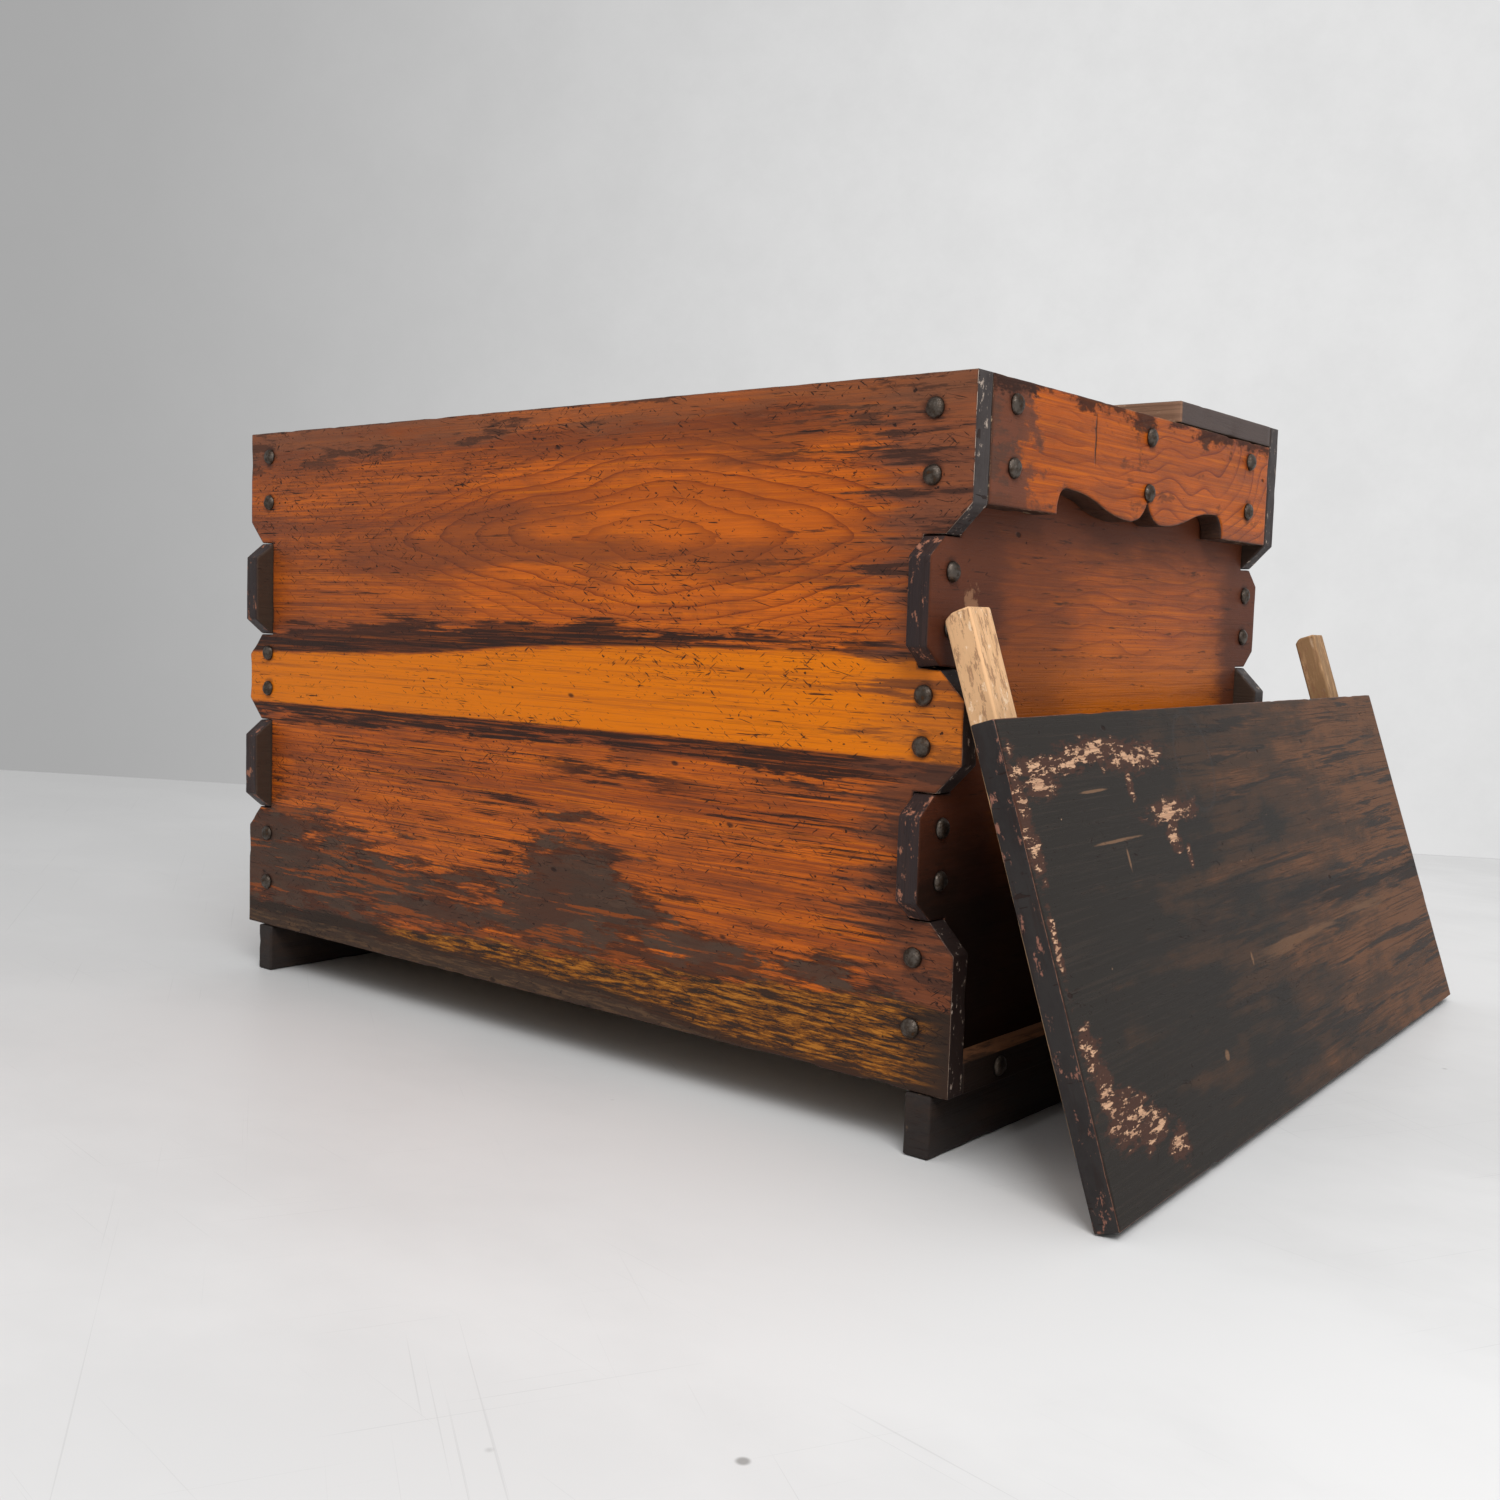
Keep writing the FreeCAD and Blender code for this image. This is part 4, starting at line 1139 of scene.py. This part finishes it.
def bottom_rail():
    """Black on its face; on the ledge that it leaves in front of the panel, painted light with rubbing and
    dust.
    """
    finish = Finish("rail_wood", "yzx", seed=35.0)
    fibres = clouds(finish, (0.1, 0.0016, 0.01), detail=5, rough=0.65)
    patches = clouds(finish, (0.08, 0.012, 0.02), detail=8, rough=0.75)
    coat(finish, None, RAIL_BLACK, 0.55)
    coat(finish, patches.beyond(0.55, 0.1) * 0.6, RAIL_BROWN, 0.6)
    # Painted light on the top of the rail, with rubbing and dust, paler than its face.
    lit_dusty_ledge = finish.up.beyond(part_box("right_bottom_rail")[1].z - 1.5 * MM, 0.5 * MM)
    coat(finish, lit_dusty_ledge * (0.15 + patches.beyond(0.47, 0.05) * 0.65), LEDGE_LIGHT_AND_DUST, 0.7)
    coat(finish, fibres.beyond(0.57, 0.08) * 0.5, SOOT)
    sink(finish, fibres.beyond(0.57, 0.12), 0.12 * MM)
    knocked(finish, 0.4)
    return finished(finish, shine=0.1)


RAIL = bottom_rail()

# %% [markdown]
# Bare wood is only grey-brown with age. The sawn front edge of the fixed top was never lacquered, so
# it stays pale, and the same board's other edges are dark. One mask by Y tells them apart. The inner
# side of a long board is bare inside the box and dark on its ears, so masks by X and Y do the same
# there.

# %% Bare woods
def bare(name, order, base, dark, seed, placement=None, stain=0.45, chip=(0.5, 0.38, 0.25)):
    finish = Finish(name, order, placement, seed)
    fibres = clouds(finish, (0.16, 0.0018, 0.02), detail=6, rough=0.66)
    bands = clouds(finish, (0.7, 0.007, 0.1), detail=4, rough=0.5)
    patches = clouds(finish, (0.25, 0.035, 0.08), detail=8, rough=0.72)
    coat(finish, None, base, 0.72)
    coat(finish, bands.beyond(0.52, 0.08) * 0.4, dark)
    coat(finish, fibres.beyond(0.56, 0.1) * 0.5, dark)
    coat(finish, patches.beyond(0.57, 0.12) * stain * 0.8, [side * 0.5 for side in dark], 0.8)
    sink(finish, fibres.beyond(0.56, 0.15), 0.15 * MM)
    worn_arris(finish, colour=chip, share=0.3, dirt=0.15)
    return finish


INNER_WOOD, INNER_DARK, EAR_BACKS = (0.36, 0.24, 0.14), (0.2, 0.12, 0.065), (0.04, 0.024, 0.018)
HALF_BOARD = 9 * MM


def past(place, low, high, margin):
    """1 where a place along one axis lies outside two limits, moved apart by a margin."""
    return abs(place - (low + high) / 2).beyond((high - low) / 2 + margin, 1 * MM)


def bare_inside():
    """Bare inside the box. Inner faces that reach past the box, on ears and fingers, are dark."""
    finish = bare("bare_wood", "xzy", INNER_WOOD, INNER_DARK, 65.0)
    left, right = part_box("left_end_panel"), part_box("right_end_panel")
    past_ends = past(finish.across, left[1].x, right[0].x, HALF_BOARD)
    past_boards = past(finish.through, FRONT_FACE, BACK_FACE, -HALF_BOARD)
    coat(finish, past_ends.most(past_boards) * 0.95, EAR_BACKS, 0.5)
    knocked(finish, 0.5)
    return finished(finish, shine=0.2)


RAW_EDGE, RAW_DARK, RAW_CHIPS = (0.38, 0.21, 0.13), (0.17, 0.085, 0.055), (0.42, 0.26, 0.17)
TOP_DARK = (0.07, 0.05, 0.046)


def top_edge():
    finish = bare("top_edge", "xzy", RAW_EDGE, RAW_DARK, 85.0, chip=RAW_CHIPS)
    behind = finish.through.beyond(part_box("fixed_top_board")[0].y + 3 * MM, 1 * MM)
    coat(finish, behind * 0.95, TOP_DARK, 0.45)
    return finished(finish, shine=0.2)


BARE, TOP_EDGE = bare_inside(), top_edge()

# %% [markdown]
# ## Lid
#
# The lid is nearly black at its near end and browner away from it, with a dark and a pale streak. Its
# finish reads the lid's own frame, so a place on it is measured from its lower near corner, and the
# streaks stay level with its long edges.

# %% Lid lacquer
LID_BLACK, LID_FIBRES, LID_BROWN = (0.022, 0.018, 0.015), (0.048, 0.034, 0.026), (0.06, 0.032, 0.019)
LID_WORN, LID_FLAMES, LID_STREAK = (0.185, 0.08, 0.038), (0.018, 0.014, 0.012), (0.015, 0.012, 0.011)
LID_PALE_STREAK, WET_RING = (0.2, 0.1, 0.05), (0.014, 0.012, 0.011)
STREAK_UP, STREAK_FALL, STREAK_FROM, PALE_STREAK_UP = 0.149, 0.022, 0.472, 0.122
RING_PLACE = (0.315, 0.282, 0.036, 0.04)


def lid_lacquer():
    """The lid before it flaked. Returns its fibres too."""
    finish = Finish("lid_lacquer", "yzx", LID, 151.0)
    across, up = finish.across, finish.up
    fibres = clouds(finish, (0.14, 0.0022, 0.02), detail=7, rough=0.72)
    broad = clouds(finish, (0.3, 0.035, 0.2), detail=7, rough=0.68, twist=0.3)
    haze = clouds(finish, (0.1, 0.08, 0.2), detail=7, rough=0.66)
    flames = clouds(finish, (0.2, 0.012, 0.1), detail=7, rough=0.7, twist=0.5)
    coat(finish, None, LID_BLACK, 0.5)
    coat(finish, fibres.beyond(0.58, 0.06) * 0.45, LID_FIBRES)
    thin = across + (broad - 0.5) * 1.4 + (haze - 0.5) * 0.9
    coat(finish, thin.beyond(0.33, 0.12) * 0.85, LID_BROWN, 0.5)
    browned = (thin + (fibres - 0.5) * 1.2).beyond(0.6, 0.16)
    coat(finish, browned * 0.8, LID_WORN, 0.55)
    coat(finish, across.beyond(0.22, 0.1) * flames.beyond(0.56, 0.03) * 0.85, LID_FLAMES, 0.48)
    coat(finish, fibres.beyond(0.55, 0.05) * across.beyond(0.2, 0.1) * 0.6, LID_FLAMES)
    streak = torn(finish, 0.2, 0.012, 40 * MM)
    low_line = STREAK_UP - (across - STREAK_FROM) * STREAK_FALL
    dark = (0.008 - abs(up - low_line) + streak).beyond(0, 4 * MM) * across.beyond(0.42, 0.06)
    coat(finish, dark * 0.9, LID_STREAK)
    pale = (0.002 - abs(up - PALE_STREAK_UP) + streak).beyond(0, 4 * MM)
    coat(finish, pale * finish.between(across, 0.36, 0.7, 0.06) * 0.6, LID_PALE_STREAK)
    ring = abs(spot(finish, *RING_PLACE) - 1).beyond(0.05, 0.05)
    coat(finish, (1 - ring) * 0.35, WET_RING, 0.3)
    sink(finish, fibres.beyond(0.57, 0.12), 0.1 * MM)
    return finish, fibres

# %% [markdown]
# Along the near arris and the top the lacquer has flaked off in torn patches, down to tan wood. Each
# patch is a spot, given in millimetres by its place and its half width and height. The spots are
# joined to one field, its edge is torn by noise, and a finer noise crumbles it. A few scratches are
# thin spots.

# %% Flaked lacquer
FLAKES = ((50, 292, 52, 6), (140, 299, 50, 8), (200, 292, 50, 9), (42, 279, 20, 7), (182, 271, 5, 12),
          (245, 247, 42, 7), (238, 230, 10, 12), (259, 211, 4, 7), (8, 262, 9, 34), (14, 238, 8, 16),
          (20, 108, 12, 14), (28, 82, 10, 20), (48, 60, 26, 15), (84, 46, 22, 10), (117, 27, 14, 10),
          (10, 180, 4, 26))
SCRATCHES = ((137, 234, 36, 1.1), (149, 220, 1.5, 8), (120, 271, 22, 1.0), (233, 63, 4, 4),
             (330, 120, 2, 5))
TAN, TAN_FIBRES, FLAKE_EDGE = (0.66, 0.4, 0.25), (0.26, 0.12, 0.075), (0.085, 0.034, 0.022)
SCRATCHED = (0.3, 0.17, 0.1)


def flaked(finish, fibres):
    """Lays bare wood in torn spots, and scratches."""
    tear = clouds(finish, (0.018, 0.006, 0.02), detail=7, rough=0.75) - 0.5
    crumble = clouds(finish, (0.014, 0.0045, 0.02), detail=4, rough=0.7)
    spots = None
    for place in FLAKES:
        near = 1 - spot(finish, *(side * MM for side in place))
        spots = near if spots is None else spots.most(near)
    edge = spots + tear * 4
    coat(finish, edge.beyond(-0.2, 0.25) * 0.7, FLAKE_EDGE, 0.55)
    bare_wood = (edge * 0.09 + crumble).beyond(0.572, 0.01) * edge.beyond(0, 0.08)
    coat(finish, bare_wood, TAN, 0.75)
    coat(finish, bare_wood * fibres.beyond(0.52, 0.05) * 0.5, TAN_FIBRES, 0.75)
    sink(finish, bare_wood, 0.35 * MM)
    for place in SCRATCHES:
        line = 1 - (spot(finish, *(side * MM for side in place)) + tear * 1.5).beyond(1, 0.3)
        coat(finish, line * 0.6, SCRATCHED, 0.7)

# %% Lid
RUBBED_ARRIS, LID_CHIPS = (0.12, 0.045, 0.03), (0.45, 0.24, 0.16)
LID_BACK_WOOD, LID_BACK_DARK = (0.14, 0.09, 0.055), (0.08, 0.05, 0.03)


def lid_face():
    finish, fibres = lid_lacquer()
    flaked(finish, fibres)
    knocked(finish, 0.6)
    chips = clouds(finish, (0.005, 0.004, 0.01), detail=3)
    coat(finish, chips.beyond(0.775, 0.015), TAN, 0.7)
    coat(finish, finish.arris.beyond(0.75, 0.2) * 0.75, RUBBED_ARRIS, 0.5)
    worn_arris(finish, colour=LID_CHIPS, share=0.9, patch=7 * MM, dirt=0)
    return finished(finish, shine=0.1)


LID_FACE = lid_face()
LID_EDGE = dark_wood("lid_edge", "zyx", (0.028, 0.024, 0.023), (0.018, 0.014, 0.014), rough=0.42, seed=95.0,
                     chip=(0.3, 0.13, 0.09), share=0.3, placement=LID)


def lid_back():
    finish = bare("lid_back", "yzx", LID_BACK_WOOD, LID_BACK_DARK, 105.0, LID)
    knocked(finish, 0.5)
    return finished(finish, shine=0.2)


LID_BACK = lid_back()

# %% [markdown]
# ## Battens
#
# The two battens are plain pine, paler than all the rest, with nibbled arrises. The far one is browner,
# painted shade with some dirt, and a mask along the lid tells the two apart.

# %% Battens
PINE, PINE_DARK, PINE_CHIPS = (0.98, 0.6, 0.32), (0.76, 0.43, 0.21), (0.92, 0.68, 0.46)
PINE_DIRT, FAR_SHADE_AND_DIRT, NIBBLED = (0.42, 0.24, 0.13), (0.25, 0.14, 0.06), (0.3, 0.15, 0.08)


def along_lid(node):
    """How far along the lid the middle of a node's box lies."""
    low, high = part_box(node)
    return (LID.inverted() @ ((low + high) / 2)).y


def batten():
    finish = bare("batten_pine", "zyx", PINE, PINE_DARK, 115.0, LID, stain=0.1, chip=PINE_CHIPS)
    dirt = clouds(finish, (0.05, 0.005, 0.008), detail=7, rough=0.72)
    coat(finish, dirt.beyond(0.6, 0.04) * 0.4, PINE_DIRT, 0.75)
    between = (along_lid("lid_left_batten") + along_lid("lid_right_batten")) / 2
    # The far batten is browner: painted shade, with some dirt in patches.
    far = finish.up.beyond(between, 1 * MM)
    shade_and_dirt = clouds(finish, (0.09, 0.014, 0.014), detail=7, rough=0.72)
    coat(finish, far * (0.3 + shade_and_dirt.beyond(0.46, 0.08) * 0.55), FAR_SHADE_AND_DIRT, 0.7)
    nibbled = clouds(finish, (0.014, 0.004, 0.004), detail=5, rough=0.75)
    coat(finish, finish.arris.beyond(0.55, 0.2) * nibbled.beyond(0.56, 0.03) * 0.7, NIBBLED, 0.8)
    return finished(finish, shine=0.35)


BATTEN = batten()

# %% [markdown]
# ## Wrought iron
#
# Forged iron keeps a skin of scale: dark, a little brown, and glossier where a hammer or a hand has
# polished it. It is a metal, so its Metallic is 1 and its colour tints the reflection.

# %% Iron
FORGED, SCALE, RUST = (0.11, 0.092, 0.078), (0.055, 0.04, 0.03), (0.12, 0.05, 0.02)


def iron():
    finish = Finish("wrought_iron", "xzy", seed=121.0)
    scale = clouds(finish, (0.006, 0.006, 0.006), detail=5, rough=0.7)
    pits = clouds(finish, (0.0018, 0.0018, 0.0018), detail=3, rough=0.6)
    coat(finish, None, FORGED, 0.38)
    coat(finish, scale.beyond(0.5, 0.12), SCALE, 0.55)
    coat(finish, scale.beyond(0.64, 0.05) * 0.7, RUST, 0.75)
    sink(finish, pits.beyond(0.55, 0.15), 0.12 * MM)
    sink(finish, scale.beyond(0.5, 0.2), 0.15 * MM)
    return finished(finish, metal=1.0)


IRON = iron()

# %% [markdown]
# ## Dressing the boards
#
# Each board is named once, with its axis, the side that faces out and its three finishes. Axis 1 is
# Y, through the long boards, axis 0 is X, through the ends, and axis 2 is Z, through top and bottom.
# The lid and its battens have the axes of the lid's own frame.

# %% Long boards and ends
dress_board("front_board", 1, -1, [FRONT, END_GRAIN, BARE])
dress_board("back_board", 1, 1, [BACK, END_GRAIN, BARE])
for side, outward in (("right", 1), ("left", -1)):
    dress_board(side + "_end_panel", 0, outward, [PANEL, FINGER, BARE])
    dress_board(side + "_apron", 0, outward, [APRON, APRON_EDGE, BARE])
    dress_board(side + "_bottom_rail", 0, outward, [RAIL, RAIL, RAIL])
    dress_board(side + "_foot", 0, outward, [FOOT, FOOT, FOOT], easing=2 * MM)

# %% Top and bottom
dress_board("fixed_top_board", 2, 1, [TOP, TOP_EDGE, BARE])
dress_board("front_bottom_plank", 2, 1, [BARE, BARE, BARE])
dress_board("back_bottom_plank", 2, 1, [BARE, BARE, BARE])

# %% Lid
dress_board("lid_board", 0, 1, [LID_FACE, LID_EDGE, LID_BACK], "lid", LID, easing=1.6 * MM)
for side in ("left", "right"):
    dress_board(f"lid_{side}_batten", 1, 1, [BATTEN] * 3, "lid", LID, easing=2.5 * MM)

# %% Nails
for node in ("front_nails", "back_nails", "left_end_nails", "right_end_nails", "left_apron_nails",
             "right_apron_nails", "bottom_rail_nails"):
    forge(node, domed_head)
for node in ("fixed_top_nails", "bottom_plank_nails", "foot_nails"):
    forge(node, flush_head)
forge("lid_batten_nails", flush_head, "lid", LID)

# %% [markdown]
# ## Floor, wall and light
#
# The chest stands on a smooth pale floor in front of a pale wall. The wall is only a picture for the
# camera and for reflections: it glows by itself, throws no shadow, gives no light to the wood, and
# can't be seen from behind. The room is brighter on the right, so both get paler that way.

# %% Stage helpers
WALL_LEFT, WALL_RIGHT = Vector((-2.4, 0.33, 0)), Vector((0.1, 1.61, 0))
ALONG_WALL = (WALL_RIGHT - WALL_LEFT).normalized()


def along_room(finish):
    """How far a point lies along the wall, in metres from its left end."""
    shifted = (finish.across - WALL_LEFT.x) * ALONG_WALL.x
    return shifted + (finish.up - WALL_LEFT.y) * ALONG_WALL.y


def stage_plane(name, size, material, matrix=Matrix()):
    shape = bmesh.new()
    bmesh.ops.create_grid(shape, x_segments=1, y_segments=1, size=size)
    bmesh.ops.transform(shape, matrix=matrix, verts=shape.verts)
    mesh = bpy.data.meshes.new(name)
    shape.to_mesh(mesh)
    shape.free()
    mesh.materials.append(material)
    plane = linked(name, mesh)
    return plane

# %% Floor
FLOOR_HALF = 25


def floor_paint():
    finish = Finish("floor_paint", "xyz", seed=201.0)
    mottle = clouds(finish, (0.5, 0.35, 1), detail=6, rough=0.6)
    coat(finish, None, (0.6, 0.6, 0.6), 0.42)
    coat(finish, along_room(finish).beyond(1.6, 1.6), (0.77, 0.77, 0.77))
    coat(finish, mottle.beyond(0.52, 0.14) * 0.35, (0.55, 0.55, 0.55), 0.5)
    for size, turn in (((0.5, 0.0022, 1), 33), ((0.4, 0.002, 1), -62), ((0.3, 0.002, 1), 8)):
        lines = clouds(finish, size, detail=2, turn=turn)
        coat(finish, lines.beyond(0.72, 0.02) * mottle.beyond(0.48, 0.08) * 0.3, (0.45, 0.45, 0.45), 0.5)
    # Painted shade along the foot of the wall, patchy, since the wall casts none.
    from_wall = (finish.across - WALL_LEFT.x) * ALONG_WALL.y - (finish.up - WALL_LEFT.y) * ALONG_WALL.x
    foot = (1 - (from_wall + (mottle - 0.5) * 0.08).beyond(0.012, 0.012)) * mottle.beyond(0.4, 0.2)
    coat(finish, foot * 0.5, (0.4, 0.4, 0.4), 0.6)
    specks = marks(finish, (0.11, 0.11), 0.03, 0.4)
    coat(finish, specks * 0.7, (0.2, 0.19, 0.18), 0.6)
    sink(finish, mottle, 0.3 * MM)
    return finished(finish, shine=0.25)


stage_plane("floor", FLOOR_HALF, floor_paint())

# %% Wall
WALL_HALF = 6


def wall_paint():
    """Emission for camera, reflected and transmitted rays that meet the front, and else nothing."""
    finish = Finish("wall_paint", "xyz", seed=231.0)
    plaster = clouds(finish, (0.2, 0.2, 0.2), detail=9, rough=0.72)
    height = finish.through
    coat(finish, None, (0.4, 0.4, 0.4), 1)
    coat(finish, along_room(finish).beyond(1.1, 1.25), (0.79, 0.79, 0.79))
    # Painted light: the glowing wall is darker high up and low down, away from 0.9 m.
    coat(finish, abs(height - 0.9).beyond(1.3, 1.3) * 0.3, (0.3, 0.3, 0.3))
    coat(finish, plaster.beyond(0.5, 0.25) * 0.12, (0.35, 0.35, 0.35))
    glow = finish.node("ShaderNodeEmission")
    finish.feed(glow.inputs["Color"], finish.colour)
    rays = finish.node("ShaderNodeLightPath")
    seen = Field(finish, rays.outputs["Is Camera Ray"]).most(Field(finish, rays.outputs["Is Glossy Ray"]))
    seen = seen.most(Field(finish, rays.outputs["Is Transmission Ray"]))
    front = 1 - Field(finish, finish.node("ShaderNodeNewGeometry").outputs["Backfacing"])
    mix = finish.node("ShaderNodeMixShader")
    finish.feed(mix.inputs[0], seen * front)
    finish.feed(mix.inputs[1], finish.node("ShaderNodeBsdfTransparent").outputs[0])
    finish.feed(mix.inputs[2], glow.outputs[0])
    finish.feed(finish.tree.nodes["Material Output"].inputs["Surface"], mix.outputs[0])
    return finish.material


facing = Vector((ALONG_WALL.y, -ALONG_WALL.x, 0))
upright = Matrix((ALONG_WALL, Vector((0, 0, 1)), facing)).transposed().to_4x4()
wall_middle = (WALL_LEFT + WALL_RIGHT) / 2 + Vector((0, 0, WALL_HALF))
wall = stage_plane("wall", WALL_HALF, wall_paint(), Matrix.Translation(wall_middle) @ upright)
wall.visible_diffuse = False
wall.visible_shadow = False

# %% [markdown]
# The sky of the studio is brighter overhead than at eye level, as under a lit ceiling. Eye and
# reflections see a plain pale grey instead. One large soft lamp high on the right and in front gives
# the shadows their direction and puts a spark on every nail.

# %% Light
OVERHEAD, LEVEL, BACKDROP = 1.05, 0.02, 0.72
LOW_SKY, HIGH_SKY = 0.03, 0.85
KEY_TARGET = Vector((0, 0, 0.25))
KEY_PLACE, KEY_SIZE, KEY_POWER = Vector((2.0, -1.9, 2.8)), 1.6, 72


def studio():
    """A soft sky for the light, and a plain backdrop for the camera, for metal and for gloss."""
    world = bpy.data.worlds.new("studio")
    world.use_nodes = True
    tree = world.node_tree
    place = tree.nodes.new("ShaderNodeTexCoord")
    parts = tree.nodes.new("ShaderNodeSeparateXYZ")
    tree.links.new(place.outputs["Generated"], parts.inputs[0])
    lift = tree.nodes.new("ShaderNodeMapRange")
    for name, value in (("From Min", LOW_SKY), ("From Max", HIGH_SKY),
                        ("To Min", LEVEL), ("To Max", OVERHEAD)):
        lift.inputs[name].default_value = value
    tree.links.new(parts.outputs["Z"], lift.inputs["Value"])
    rays = tree.nodes.new("ShaderNodeLightPath")
    looked = rays.outputs["Is Camera Ray"]
    for kind in ("Is Glossy Ray", "Is Transmission Ray"):
        either = tree.nodes.new("ShaderNodeMath")
        either.operation = "MAXIMUM"
        tree.links.new(looked, either.inputs[0])
        tree.links.new(rays.outputs[kind], either.inputs[1])
        looked = either.outputs[0]
    seen = tree.nodes.new("ShaderNodeMix")
    tree.links.new(looked, seen.inputs[0])
    tree.links.new(lift.outputs[0], seen.inputs[2])
    seen.inputs[3].default_value = BACKDROP
    tree.links.new(seen.outputs[0], tree.nodes["Background"].inputs["Strength"])
    tree.nodes["Background"].inputs["Color"].default_value = (1, 1, 1, 1)
    return world


bpy.context.scene.world = studio()
key = linked("key", bpy.data.lights.new("key", "AREA"))
key.data.size = KEY_SIZE
key.data.energy = KEY_POWER
key.location = KEY_PLACE
key.rotation_euler = (KEY_TARGET - KEY_PLACE).to_track_quat("-Z", "Y").to_euler()
bpy.context.scene.view_settings.view_transform = "Standard"
